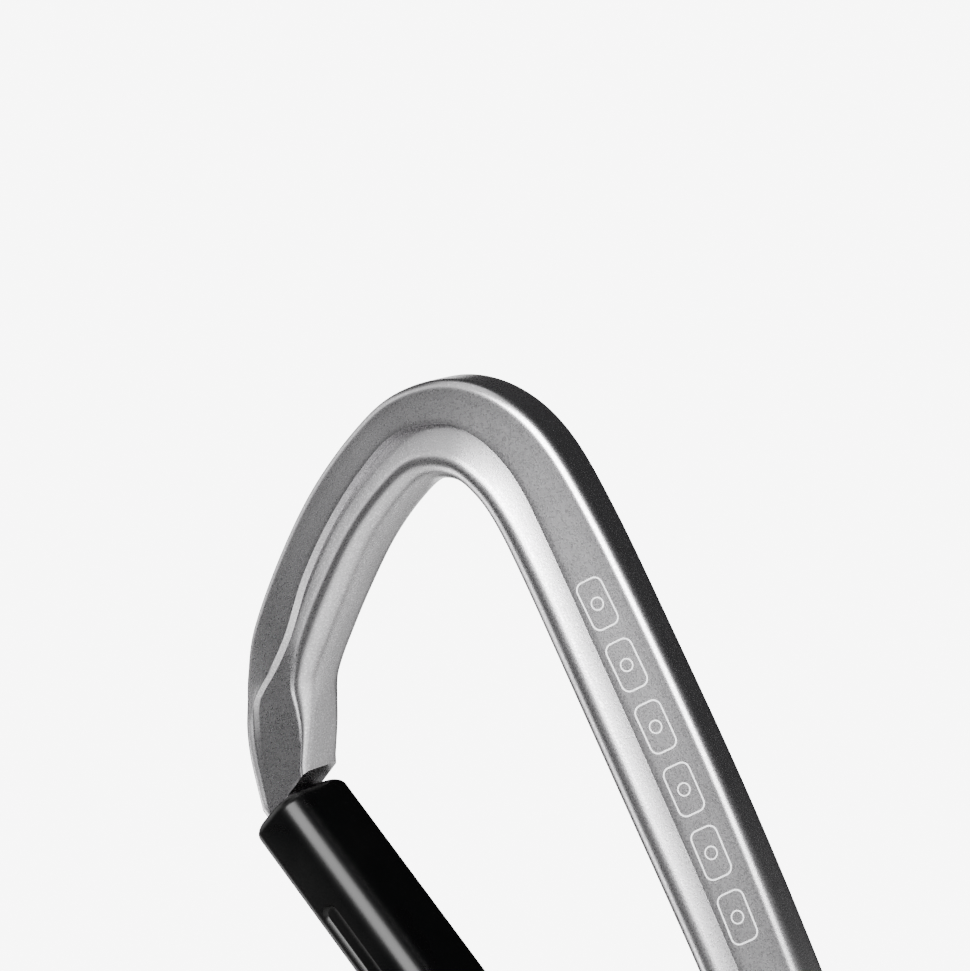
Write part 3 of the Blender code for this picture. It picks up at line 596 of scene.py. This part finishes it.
def blend_rows(rows, index, t):
    around = [rows[min(max(index + step, 0), len(rows) - 1)] for step in (-1, 0, 1, 2)]
    values = []
    for field in zip(*around):
        if isinstance(field[0], tuple):
            values.append(tuple(blend_value(*parts, t) for parts in zip(*field)))
        else:
            values.append(blend_value(*field, t))
    return Row(*values)


def smooth_rows(rows):
    result = []
    for index in range(len(rows) - 1):
        for step in range(ROWS_PER_SPAN):
            result.append(blend_rows(rows, index, step / ROWS_PER_SPAN))
    return result + [rows[-1]]


def gate_row(along, outer, inner, half_width):
    """A plain rounded section across the gate's axis, given in the gate's frame."""
    spots = [GATE_FRAME @ Vector((inward, 0, along)) / MM for inward in (outer, inner)]
    half = half_width / MM
    corner = min(0.9, half - 0.5, (inner - outer) / MM * 0.3)
    ends = [(spot.x, spot.z) for spot in spots]
    return Row(*ends, corner + 0.3, half, half, 0.0, half, half, (corner, corner))


def nose_rows():
    outer, inner = NOSE_DEPTH
    low, high = NOSE_BULB
    soft = 0.4 * MM
    return [
        gate_row(low, outer + soft, inner - soft, NOSE_BULB_HALF_WIDTH - soft),
        gate_row(low + soft, outer, inner, NOSE_BULB_HALF_WIDTH),
        gate_row(high - soft, outer, inner, NOSE_BULB_HALF_WIDTH),
        gate_row(high, outer, inner, NOSE_NECK_HALF_WIDTH),
        gate_row(NOSE_NECK_TOP - 0.2 * MM, outer, inner, NOSE_NECK_HALF_WIDTH),
        gate_row(NOSE_NECK_TOP, outer, inner, NOSE_HALF_WIDTH),
        gate_row(NOSE_SHOULDER - 0.2 * MM, outer, inner, NOSE_HALF_WIDTH),
        gate_row(NOSE_SHOULDER, NOSE_OUTER, NOSE_INNER, NOSE_HALF_WIDTH),
    ]


def tang_rows():
    half = TANG_HALF_WIDTH
    shape = ((-2.9, -3.7, 3.7), (-2.4, -3.6, 3.6), (0.0, -3.6, 3.6), (1.9, -3.0, 3.6),
             (3.2, -1.3, 3.4), (3.8, 0.1, 3.1), (4.4, 1.6, 2.8))
    return [gate_row(along * MM, outer * MM, inner * MM, half) for along, outer, inner in shape]


def body_mesh():
    full_end = gate_row(-3.0 * MM, -3.8 * MM, 3.8 * MM, 3.7 * MM)
    rows = nose_rows() + smooth_rows(ARCH_AND_SPINE) + [full_end] + tang_rows()
    x, z = HINGE
    tools = [cylinder_mesh(RIVET_RADIUS + GAP, (x, -9 * MM, z), (x, 9 * MM, z))]
    for side in (-1, 1):
        near = (x, side * (TANG_HALF_WIDTH + 0.05 * MM), z)
        tools.append(cylinder_mesh(4.5 * MM, near, (x, side * 9 * MM, z)))
    return cut_away(loft_mesh([section_ring(row) for row in rows]), tools)


# Etched outline pattern on the spine's flat side: plain capsules and rings

def plate_point(rows, z, s, lift=0.02):
    """A point on the spine's flat front side at height z and s from the back, in mm."""
    for a, b in zip(rows, rows[1:]):
        if a.outer[1] >= z > b.outer[1]:
            t = (a.outer[1] - z) / (a.outer[1] - b.outer[1])
            x = a.outer[0] + (b.outer[0] - a.outer[0]) * t
            y = plate_height(a, s) * (1 - t) + plate_height(b, s) * t
            return Vector((x - s, -y - lift, z)) * MM
    raise ValueError("no plate at this height")


def ring_strip(bm, rows, path, width):
    """A closed thin band along a path of (z, s) points on the plate."""
    count = len(path)
    inner, outer = [], []
    for k in range(count):
        before, after = Vector(path[k - 1]), Vector(path[(k + 1) % count])
        side = Vector((before.y - after.y, after.x - before.x)).normalized() * width / 2
        here = Vector(path[k])
        inner.append(bm.verts.new(plate_point(rows, *(here - side))))
        outer.append(bm.verts.new(plate_point(rows, *(here + side))))
    for k in range(count):
        bm.faces.new((inner[k - 1], inner[k], outer[k], outer[k - 1]))


def marking_mesh():
    rows = smooth_rows(ARCH_AND_SPINE[12:19])
    bm = bmesh.new()
    for index in range(MARK_COUNT):
        middle = MARK_TOP - MARK_PITCH * index
        path = []
        for up, inward, first in ((1, 1, 0), (-1, 1, 90), (-1, -1, 180), (1, -1, 270)):
            corner = (middle + up * (MARK_HALF_LENGTH - MARK_CORNER),
                      MARK_ACROSS + inward * (MARK_HALF_WIDTH - MARK_CORNER))
            path += arc(corner, (MARK_CORNER, MARK_CORNER), first, first + 90, 7)
        ring_strip(bm, rows, path, MARK_LINE)
        ring = arc((middle, MARK_ACROSS), (MARK_RING_RADIUS, MARK_RING_RADIUS), 0, 345, 24)
        ring_strip(bm, rows, ring, MARK_RING_LINE)
    mesh = bpy.data.meshes.new("marking")
    bm.to_mesh(mesh)
    bm.free()
    return mesh


# Gate, in its own frame: X towards the spine, Z from the rivet to the head

def bow(along, bend):
    reach = (along - BEND_START) / (BEND_END - BEND_START)
    if not 0 < reach < 1:
        return 0.0
    return bend * math.sin(math.pi * reach) ** 2


def gate_ring(along, outer, inner, half_width, shift=0.0):
    """A cross-section of the gate: a rectangle whose inner edges are rounded the most."""
    span = inner - outer
    full = min(GATE_FULL_CORNER, span * 0.45, half_width * 0.6)
    tight = min(GATE_TIGHT_CORNER, span * 0.4)
    corners = ((inner - full, half_width - full, full, 0), (outer + tight, half_width - tight, tight, 90),
               (outer + tight, tight - half_width, tight, 180), (inner - full, full - half_width, full, 270))
    ring = []
    for x, y, radius, first in corners:
        spots = arc((x, y), (radius, radius), first, first + 90, 13)
        ring += [Vector((h + shift, v, along)) for h, v in spots]
    return ring


def gate_solid(bend):
    """A loft from the round heel, along the shaft, to the head's rounded end."""
    rings = []
    for k in range(14):
        angle = math.radians(84 - 84 * k / 13)
        reach = math.cos(angle)
        rings.append(gate_ring(GATE_OUTER * math.sin(angle), GATE_OUTER * reach, GATE_INNER * reach,
                               GATE_HALF_WIDTH))
    steps = 48
    for k in range(1, steps + 1):
        along = (GATE_TOP - GATE_TIGHT_CORNER) * k / steps
        rings.append(gate_ring(along, GATE_OUTER, GATE_INNER, GATE_HALF_WIDTH, bow(along, bend)))
    for k in range(1, 9):
        angle = math.radians(10 * k)
        inset = GATE_TIGHT_CORNER * (1 - math.cos(angle))
        along = GATE_TOP - GATE_TIGHT_CORNER * (1 - math.sin(angle))
        rings.append(gate_ring(along, GATE_OUTER + inset, GATE_INNER - inset, GATE_HALF_WIDTH - inset))
    return loft_mesh(rings)


def pocket_tool(side):
    """A shallow round-ended groove along the gate's side face, with sloping walls."""
    low, high = POCKET_ENDS
    rings = []
    for level, radius in POCKET_LEVELS:
        y = side * (GATE_HALF_WIDTH + level * MM)
        outline = arc((POCKET_X, high), (radius * MM, radius * MM), 0, 180, 15)
        outline += arc((POCKET_X, low), (radius * MM, radius * MM), 180, 360, 15)
        rings.append([Vector((x, y, z)) for x, z in outline])
    return loft_mesh(rings)


def gate_mesh(bend=0.0):
    slot_x = NOSE_DEPTH[1] + 0.4 * MM
    bulb = NOSE_BULB_HALF_WIDTH + GAP
    neck = NOSE_NECK_HALF_WIDTH + GAP
    ears = NOSE_HALF_WIDTH + 0.35 * MM
    floor = NOSE_BULB[0] - 0.6 * MM
    ledge = NOSE_BULB[1] + 0.5 * MM
    ledge_top = NOSE_NECK_TOP - 0.4 * MM
    wide = 9 * MM
    fork = TANG_HALF_WIDTH + 0.4 * MM
    tools = [
        box_mesh((-wide, -bulb, floor), (slot_x, bulb, ledge)),
        box_mesh((-wide, -neck, ledge - GAP), (slot_x, neck, 60 * MM)),
        box_mesh((-wide, -ears, ledge_top), (slot_x, ears, 60 * MM)),
        box_mesh((-wide, -fork, -wide), (wide, fork, FORK_CROTCH)),
        cylinder_mesh(BORE_RADIUS, (0, 0, FORK_CROTCH - MM), (0, 0, BORE_TOP)),
        cylinder_mesh(RIVET_RADIUS + GAP, (0, -wide, 0), (0, wide, 0)),
    ]
    for side in (-1, 1):
        near = (0, side * (GATE_HALF_WIDTH - 0.9 * MM), 0)
        tools.append(cylinder_mesh(RIVET_HEAD_RADIUS + GAP, near, (0, side * wide, 0)))
        if not bend:
            tools.append(pocket_tool(side))
    return cut_away(gate_solid(bend), tools)


def turned_mesh(profile, sides=64):
    """The (radius, height) profile turned about Z, its ends on the axis."""
    bm = bmesh.new()
    rings = []
    for radius, height in profile[1:-1]:
        ring = []
        for k in range(sides):
            a = 2 * math.pi * k / sides
            ring.append(bm.verts.new((radius * math.cos(a), radius * math.sin(a), height)))
        rings.append(ring)
    for near, far in zip(rings, rings[1:]):
        for k in range(sides):
            bm.faces.new((near[k - 1], near[k], far[k], far[k - 1]))
    for ring, (_, height) in ((rings[0], profile[0]), (rings[-1], profile[-1])):
        tip = bm.verts.new((0, 0, height))
        for k in range(sides):
            bm.faces.new((ring[k - 1], ring[k], tip))
    return mesh_from(bm, "turned")


def rivet_mesh():
    """Two low domed heads with a small centre dimple on one shaft, lying across the gate."""
    top, edge, head = RIVET_HEAD_TOP, RIVET_HEAD_EDGE, RIVET_HEAD_RADIUS
    under = GATE_HALF_WIDTH - 0.6 * MM
    half = [(0.0, top - 0.12 * MM), (0.35 * MM, top - 0.10 * MM), (0.55 * MM, top)]
    for k in range(9):
        angle = math.radians(25 + 65 * k / 8)
        half.append((head * math.sin(angle), edge + (top - edge) * math.cos(angle)))
    half += [(head, under), (RIVET_RADIUS, under)]
    mesh = turned_mesh(half + [(r, -z) for r, z in reversed(half)])
    mesh.transform(Matrix.Rotation(math.pi / 2, 4, "X"))
    return mesh


def spring_ends():
    """Heights of the wire's centre at the coil's two ends, above the rivet."""
    return PLUNGER_TOP + SPRING_WIRE + GAP, BORE_TOP - SPRING_WIRE - GAP


def spring_mesh():
    """The small compression coil between the plunger and the end of the bore."""
    low, high = spring_ends()
    count = SPRING_TURNS * 36
    rings = []
    for k in range(count + 1):
        turn = 2 * math.pi * SPRING_TURNS * k / count
        out = Vector((math.cos(turn), math.sin(turn), 0))
        centre = out * SPRING_RADIUS + Vector((0, 0, low + (high - low) * k / count))
        rings.append([centre + out * h + Vector((0, 0, v)) for h, v in
                      arc((0, 0), (SPRING_WIRE, SPRING_WIRE), 0, 330, 12)])
    return loft_mesh(rings)


def build_spring(side, frame_matrix, looks):
    """Rides on the gate, between the plunger and the end of the bore."""
    turned = frame_matrix @ GATE_FRAME
    spring = place(f"{side}_gate_spring_coil", spring_mesh(), looks["spring"], turned, 60)
    finish_piece(spring, f"{side}_gate", "spring_steel", f"{side}_gate_spring")
    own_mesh(spring)


def build_carabiner(side, frame_matrix, bend, looks):
    body = f"{side}_carabiner"
    node = f"{side}_carabiner_body"
    part = place(node + "_forged", body_mesh(), looks["aluminium"], frame_matrix, 28)
    finish_piece(part, body, "forged_aluminium", node)
    marking = place(f"{side}_spine_marking", marking_mesh(), looks["marking"], frame_matrix)
    finish_piece(marking, body, "forged_aluminium")
    gate = place(f"{side}_gate_solid", gate_mesh(bend), looks["gate"], frame_matrix @ GATE_FRAME, 32)
    finish_piece(gate, f"{side}_gate", "black_gate", f"{side}_gate")
    rivet = place(f"{side}_rivet_turned", rivet_mesh(), looks["steel"], frame_matrix @ GATE_FRAME)
    finish_piece(rivet, body, "rivet_steel", f"{side}_gate_rivet")
    build_spring(side, frame_matrix, looks)


# Sling

def loop_path(offset, foot, count=25):
    """Leg, arc over the bar and leg, offset outwards, in heights above the throat."""
    radius = LOOP_RADIUS + offset
    centre = THROAT - LOOP_RADIUS
    slant = math.asin((LOOP_RADIUS - SEAM) / centre)
    over = arc((0.0, centre), (radius, radius), -math.degrees(slant), 180 + math.degrees(slant), count)
    length = centre * math.cos(slant) - foot
    start = Vector(over[0]) + Vector((-math.sin(slant), -math.cos(slant))) * length
    return [tuple(start)] + over + [(-start.x, start.y)]


def webbing_route():
    """Centre line of half the sling: mid shank, front layer, over the bar, back layer."""
    mid = WEB_THICKNESS / 2
    corner_turn = math.asin((LOOP_RADIUS - SEAM) / (THROAT - LOOP_RADIUS))
    radius = 16 * MM
    reach = radius * math.tan(corner_turn / 2)
    y = SEAM + mid
    bend = arc((y + radius, -reach), (radius, radius), 180, 180 - math.degrees(corner_turn), 9)
    low = SLING_MIDDLE_Z - THROAT_Z
    straight = [(y, low + (-reach - low) * k / 16) for k in range(16)]
    loop = loop_path(mid, 0.0, 33)
    over = loop[1:-1]
    right = straight + bend
    leg_start, leg_end = Vector(bend[-1]), Vector(over[0])
    right += [tuple(leg_start.lerp(leg_end, k / 8)) for k in range(1, 8)]
    return right + over + [(-h, v) for h, v in reversed(right)]


def web_section(half_width, half_thickness):
    """Flat webbing with full selvedges, as (across, out) from one edge round to the other."""
    edge = half_thickness * 1.02
    points = arc((half_width - edge, 0.0), (edge, edge), -80, 80, 9)
    flat = [half_width - edge * 1.6 - (2 * half_width - 3.2 * edge) * k / 14 for k in range(15)]
    top = [(x, half_thickness * (0.96 + 0.02 * math.cos(x / MM * 1.3))) for x in flat]
    left = arc((-half_width + edge, 0.0), (edge, edge), 100, 260, 9)
    bottom = [(x, -h) for x, h in reversed(top)]
    return points + top + left + bottom


def ribbon_mesh(route, section, round_end=0.0):
    """The section swept along a route in the YZ plane, with UVs in mm along and across."""
    spots = [Vector(p) for p in route]
    lengths = [0.0]
    for a, b in zip(spots, spots[1:]):
        lengths.append(lengths[-1] + (b - a).length)
    bm = bmesh.new()
    rings = []
    for k, spot in enumerate(spots):
        ahead = (spots[min(k + 1, len(spots) - 1)] - spots[max(k - 1, 0)]).normalized()
        out = Vector((ahead.y, -ahead.x))
        ends = min(lengths[k], lengths[-1] - lengths[k])
        thin = 1.0 if not round_end else min(1.0, 0.55 + 0.45 * (ends / round_end) ** 0.5)
        ring = []
        for across, height in section:
            flat = spot + out * height * thin
            ring.append(bm.verts.new((across + WEB_CENTRE_X, flat.x, flat.y)))
        rings.append(ring)
    layer = bm.loops.layers.uv.new("UVMap")
    count = len(section)
    for k in range(len(rings) - 1):
        for j in range(count):
            nxt = (j + 1) % count
            face = bm.faces.new((rings[k][j], rings[k][nxt], rings[k + 1][nxt], rings[k + 1][j]))
            spots_uv = ((k, j), (k, nxt), (k + 1, nxt), (k + 1, j))
            for loop, (a, b) in zip(face.loops, spots_uv):
                loop[layer].uv = (lengths[a] / MM, section[b][0] / MM)
    for ring, k in ((rings[0], 0), (list(reversed(rings[-1])), -1)):
        face = bm.faces.new(ring)
        for loop, vert in zip(face.loops, ring):
            loop[layer].uv = (lengths[k] / MM, vert.co.x / MM)
    return mesh_from(bm, "ribbon")


def shift(mesh, x, y, z):
    mesh.transform(Matrix.Translation((x, y, z)))
    return mesh


def build_webbing(looks):
    section = web_section(WEB_WIDTH / 2, WEB_THICKNESS / 2)
    pairs = (("upper", TOP, "upper_loop", "shank"), ("lower", BOTTOM, "bottom_carabiner", "shank"))
    for word, matrix, loop_body, shank_body in pairs:
        mesh = shift(ribbon_mesh(webbing_route(), section), 0, 0, THROAT_Z)
        part = place(f"{word}_webbing", mesh, looks["webbing"], matrix, 50)
        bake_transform(part)
        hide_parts(f"sling_{word}_loop")
        if word == "upper":
            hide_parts("sling_front_layer", "sling_back_layer")


def build_tail(looks):
    low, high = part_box("sling_tail_overlap")
    y = low.y + WEB_THICKNESS / 2 - TAIL_SINK
    count = 40
    route = [(y, low.z + (high.z - low.z) * k / count) for k in range(count + 1)]
    section = web_section((high.x - low.x) / 2, WEB_THICKNESS / 2)
    part = place("sling_tail", ribbon_mesh(route, section, 1.6 * MM), looks["webbing"], angle=50)
    finish_piece(part, "shank", "dark_webbing", "sling_tail_overlap")


def stitch(bm, start, end, out, radius):
    """One short thread lying on a surface and diving into it at both ends."""
    start, end, out = Vector(start), Vector(end), Vector(out)
    along = (end - start).normalized()
    side = along.cross(out)
    rings = []
    for k in range(7):
        t = k / 6
        rise = radius * (1.15 * math.sin(math.pi * t) ** 0.55 - 0.75)
        spot = start.lerp(end, t) + out * rise
        ring = []
        for j in range(7):
            a = 2 * math.pi * j / 7
            ring.append(bm.verts.new(spot + (side * math.cos(a) + out * math.sin(a)) * radius))
        rings.append(ring)
    for near, far in zip(rings, rings[1:]):
        for j in range(7):
            bm.faces.new((near[j - 1], near[j], far[j], far[j - 1]))
    bm.faces.new(rings[0])
    bm.faces.new(reversed(rings[-1]))


def tack_mesh(low_z, high_z, y, side):
    """Satin columns of zigzag thread, the bar tack's usual pattern."""
    bm = bmesh.new()
    out = (0, side, 0)
    pitch = 2 * TACK_HALF_WIDTH / TACK_COLUMNS
    half = pitch * 0.45
    for column in range(TACK_COLUMNS):
        middle = WEB_CENTRE_X - TACK_HALF_WIDTH + pitch * (column + 0.5)
        for k in range(TACK_ROWS):
            z = low_z + (high_z - low_z) * (k + 0.5) / TACK_ROWS
            start, end = (middle - half, y, z - TACK_ZIGZAG), (middle + half, y, z + TACK_ZIGZAG)
            stitch(bm, start, end, out, TACK_THREAD)
    return mesh_from(bm, "tack")


def build_tacks(looks):
    for word in ("top", "upper", "lower", "bottom"):
        for end, side in (("front", -1), ("back", 1)):
            node = f"{word}_bar_tack_{end}"
            low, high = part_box(node)
            base = -SURFACE_Y if side < 0 else SURFACE_Y
            if side > 0 and word in ("upper", "lower"):
                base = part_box("sling_tail_overlap")[1].y - TAIL_SINK
            mesh = tack_mesh(low.z, high.z, base + side * 0.04 * MM, side)
            part = place(node + "_stitched", mesh, looks["thread"])
            finish_piece(part, "shank", "orange_thread", node)


def seam_base(z, side):
    """How far out the seam lies at height z, or None where a label or the tail's end is in its way."""
    tail_low, tail_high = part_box("sling_tail_overlap")
    label_low, label_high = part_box("sling_label")
    if side < 0:
        covered = label_low.z - 2 * MM < z < label_high.z + 0.4 * MM
        return None if covered else SURFACE_Y
    if not tail_low.z - 2 * MM < z < tail_high.z + 0.5 * MM:
        return SURFACE_Y
    if tail_low.z + 0.5 * MM < z < tail_high.z - 2.5 * MM:
        return tail_high.y - TAIL_SINK
    return None


def edge_seams(looks):
    """Two running seams down each face of the shank, between the tacks."""
    bm = bmesh.new()
    tacks = [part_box(f"{word}_bar_tack_front") for word in ("top", "upper", "lower", "bottom")]
    z = SHANK_LOW.z + 5 * MM
    while z + SEAM_LENGTH < SHANK_HIGH.z - 5 * MM:
        under_tack = any(low.z - SEAM_LENGTH < z < high.z for low, high in tacks)
        for side in (-1, 1):
            base = seam_base(z, side)
            if base is None or under_tack:
                continue
            y = side * (base + 0.02 * MM)
            for across in (-SEAM_ACROSS, SEAM_ACROSS):
                x = WEB_CENTRE_X + across
                stitch(bm, (x, y, z), (x, y, z + SEAM_LENGTH), (0, side, 0), SEAM_THREAD)
        z += SEAM_STEP
    part = place("sling_edge_seams", mesh_from(bm, "seams"), looks["thread"])
    finish_piece(part, "shank", "orange_thread")


def build_label(looks):
    low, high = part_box("sling_label")
    middle = (low + high) / 2
    half_x, half_z = (high.x - low.x) / 2, (high.z - low.z) / 2
    bm = bmesh.new()
    layer = bm.loops.layers.uv.new("UVMap")
    count = 12
    sheets = []
    for lift in (0.05, 0.36):
        grid = []
        for i in range(count + 1):
            row = []
            for j in range(count + 1):
                u, v = 2 * i / count - 1, 2 * j / count - 1
                swell = 0.05 * math.cos(2.2 * u) * math.cos(1.4 * v)
                y = -SURFACE_Y - (lift + swell) * MM
                row.append(bm.verts.new((middle.x + u * half_x, y, middle.z + v * half_z)))
            grid.append(row)
        sheets.append(grid)
    for grid in sheets:
        for i in range(count):
            for j in range(count):
                bm.faces.new((grid[i][j], grid[i + 1][j], grid[i + 1][j + 1], grid[i][j + 1]))
    under, over = sheets
    for i in range(count):
        bm.faces.new((under[i][0], under[i + 1][0], over[i + 1][0], over[i][0]))
        bm.faces.new((under[i][count], under[i + 1][count], over[i + 1][count], over[i][count]))
        bm.faces.new((under[0][i], under[0][i + 1], over[0][i + 1], over[0][i]))
        bm.faces.new((under[count][i], under[count][i + 1], over[count][i + 1], over[count][i]))
    for face in bm.faces:
        for loop in face.loops:
            spot = loop.vert.co
            loop[layer].uv = ((spot.z - middle.z) / MM, (spot.x - middle.x) / MM)
    part = place("blank_label", mesh_from(bm, "label"), looks["label"])
    finish_piece(part, "shank", "label_fabric", "sling_label")


def build_keeper(looks):
    outline = loop_path(WEB_THICKNESS + GAP + KEEPER_WALL, KEEPER_FOOT, 49)
    cavity = loop_path(WEB_THICKNESS + GAP, 1.2 * MM, 49)
    solid = shift(prism_mesh(outline, KEEPER_HALF_WIDTH), WEB_CENTRE_X, 0, THROAT_Z)
    thing = place("rubber_keeper_sleeve", solid, looks["rubber"], TOP, 60)
    rounded = thing.modifiers.new("rounded", "BEVEL")
    rounded.width, rounded.segments = KEEPER_ROUNDING, 5
    rounded.limit_method, rounded.angle_limit = "ANGLE", math.radians(40)
    graph = bpy.context.evaluated_depsgraph_get()
    mesh = bpy.data.meshes.new_from_object(thing.evaluated_get(graph))
    thing.modifiers.clear()
    room = prism_mesh(cavity + [(-2.6 * MM, -2 * MM), (2.6 * MM, -2 * MM)], WEB_WIDTH / 2 + GAP)
    shift(room, WEB_CENTRE_X, 0, THROAT_Z)
    hole = cylinder_mesh(1.0, (-1, 0, 0), (1, 0, 0), 72)
    hole.transform(Matrix.Translation((WEB_CENTRE_X, 0, LOOP_TOP - 6.0 * MM))
                   @ Matrix.Diagonal((20 * MM, 4.4 * MM, 7.2 * MM, 1.0)))
    tools = [room, hole]
    for k in range(RIB_COUNT):
        height = THROAT_Z + KEEPER_FOOT + (RIB_START + RIB_PITCH * k) * MM
        for side in (-1, 1):
            y = side * (2.2 + 0.27 * (height - THROAT_Z) / MM + KEEPER_WALL / MM + 0.45) * MM
            ends = [(WEB_CENTRE_X + end * RIB_HALF_LENGTH, y, height) for end in (-1, 1)]
            tools.append(cylinder_mesh(RIB_RADIUS, *ends, 20))
    mesh = cut_away(mesh, tools)
    mesh.transform(BOTTOM)
    mesh.shade_smooth()
    mesh.set_sharp_from_angle(angle=math.radians(40))
    thing.data = mesh
    finish_piece(thing, "bottom_carabiner", "keeper_rubber", "rubber_keeper")


def finish_plungers(looks):
    for side in ("top", "bottom"):
        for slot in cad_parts[f"{side}_gate_plunger"].material_slots:
            slot.material = looks["steel"]


# Studio

def direction_to(azimuth, elevation):
    """Unit vector to a place around the object; azimuth 0 is the front, -Y."""
    a, e = math.radians(azimuth), math.radians(elevation)
    return Vector((math.sin(a) * math.cos(e), -math.cos(a) * math.cos(e), math.sin(e)))


def add_light(name, azimuth, elevation, size, power):
    data = bpy.data.lights.new(name, "AREA")
    data.shape = "RECTANGLE"
    data.size, data.size_y = size
    data.energy = power
    light = bpy.data.objects.new(name, data)
    bpy.context.scene.collection.objects.link(light)
    back = direction_to(azimuth, elevation)
    light.location = LIGHT_TARGET + back * LIGHT_DISTANCE
    light.rotation_euler = (-back).to_track_quat("-Z", "Y").to_euler()
    light.visible_camera = False


def build_floor(looks):
    bm = bmesh.new()
    bmesh.ops.create_grid(bm, x_segments=8, y_segments=8, size=FLOOR_SIZE)
    mesh = bpy.data.meshes.new("floor")
    bm.to_mesh(mesh)
    bm.free()
    mesh.transform(Matrix.Translation((0, 0, cad_box[0].z - FLOOR_DROP)))
    place("floor", mesh, looks["floor"])


def build_world():
    """A white backdrop where the camera sees it, and a faint fill for everything else."""
    world = bpy.data.worlds.new("studio")
    bpy.context.scene.world = world
    world.use_nodes = True
    tree = world.node_tree
    tree.nodes.clear()
    out = tree.nodes.new("ShaderNodeOutputWorld")
    seen, fill = tree.nodes.new("ShaderNodeBackground"), tree.nodes.new("ShaderNodeBackground")
    seen.inputs["Color"].default_value = (1, 1, 1, 1)
    seen.inputs["Strength"].default_value = BACKDROP_STRENGTH
    fill.inputs["Color"].default_value = (0.85, 0.86, 0.9, 1)
    fill.inputs["Strength"].default_value = FILL_STRENGTH
    mixer, path = tree.nodes.new("ShaderNodeMixShader"), tree.nodes.new("ShaderNodeLightPath")
    tree.links.new(path.outputs["Is Camera Ray"], mixer.inputs[0])
    tree.links.new(fill.outputs[0], mixer.inputs[1])
    tree.links.new(seen.outputs[0], mixer.inputs[2])
    tree.links.new(mixer.outputs[0], out.inputs[0])


def build_camera():
    """Close to the top carabiner and a little below it, rolled as the hand-held view is."""
    position = direction_to(CAMERA_AZIMUTH, CAMERA_ELEVATION) * CAMERA_DISTANCE
    roll = math.radians(CAMERA_ROLL)
    forward = (CAMERA_AIM - position).normalized()
    level = forward.cross(Vector((0, 0, 1))).normalized()
    rise = level.cross(forward)
    right = level * math.cos(roll) + rise * math.sin(roll)
    up = rise * math.cos(roll) - level * math.sin(roll)
    data = bpy.data.cameras.new("camera")
    data.lens = CAMERA_LENS
    data.clip_start = 0.01
    camera = bpy.data.objects.new("camera", data)
    bpy.context.scene.collection.objects.link(camera)
    camera.matrix_world = Matrix.Translation(position) @ Matrix((right, up, -forward)).transposed().to_4x4()
    bpy.context.scene.camera = camera


def build_scene():
    looks = {
        "aluminium": forged_aluminium(), "marking": etched_marking(), "gate": black_gate(),
        "steel": bright_steel("rivet_steel", 900.0), "spring": bright_steel("spring_steel", 2400.0),
        "webbing": webbing(), "thread": thread(), "label": label_fabric(), "rubber": keeper_rubber(),
        "floor": floor_material(),
    }
    build_camera()
    build_carabiner("top", TOP, 0.0, looks)
    build_carabiner("bottom", BOTTOM, GATE_BEND, looks)
    build_webbing(looks)
    build_tail(looks)
    build_tacks(looks)
    edge_seams(looks)
    build_label(looks)
    build_keeper(looks)
    finish_plungers(looks)
    build_floor(looks)
    build_world()
    for light in LIGHTS:
        add_light(*light)


build_scene()
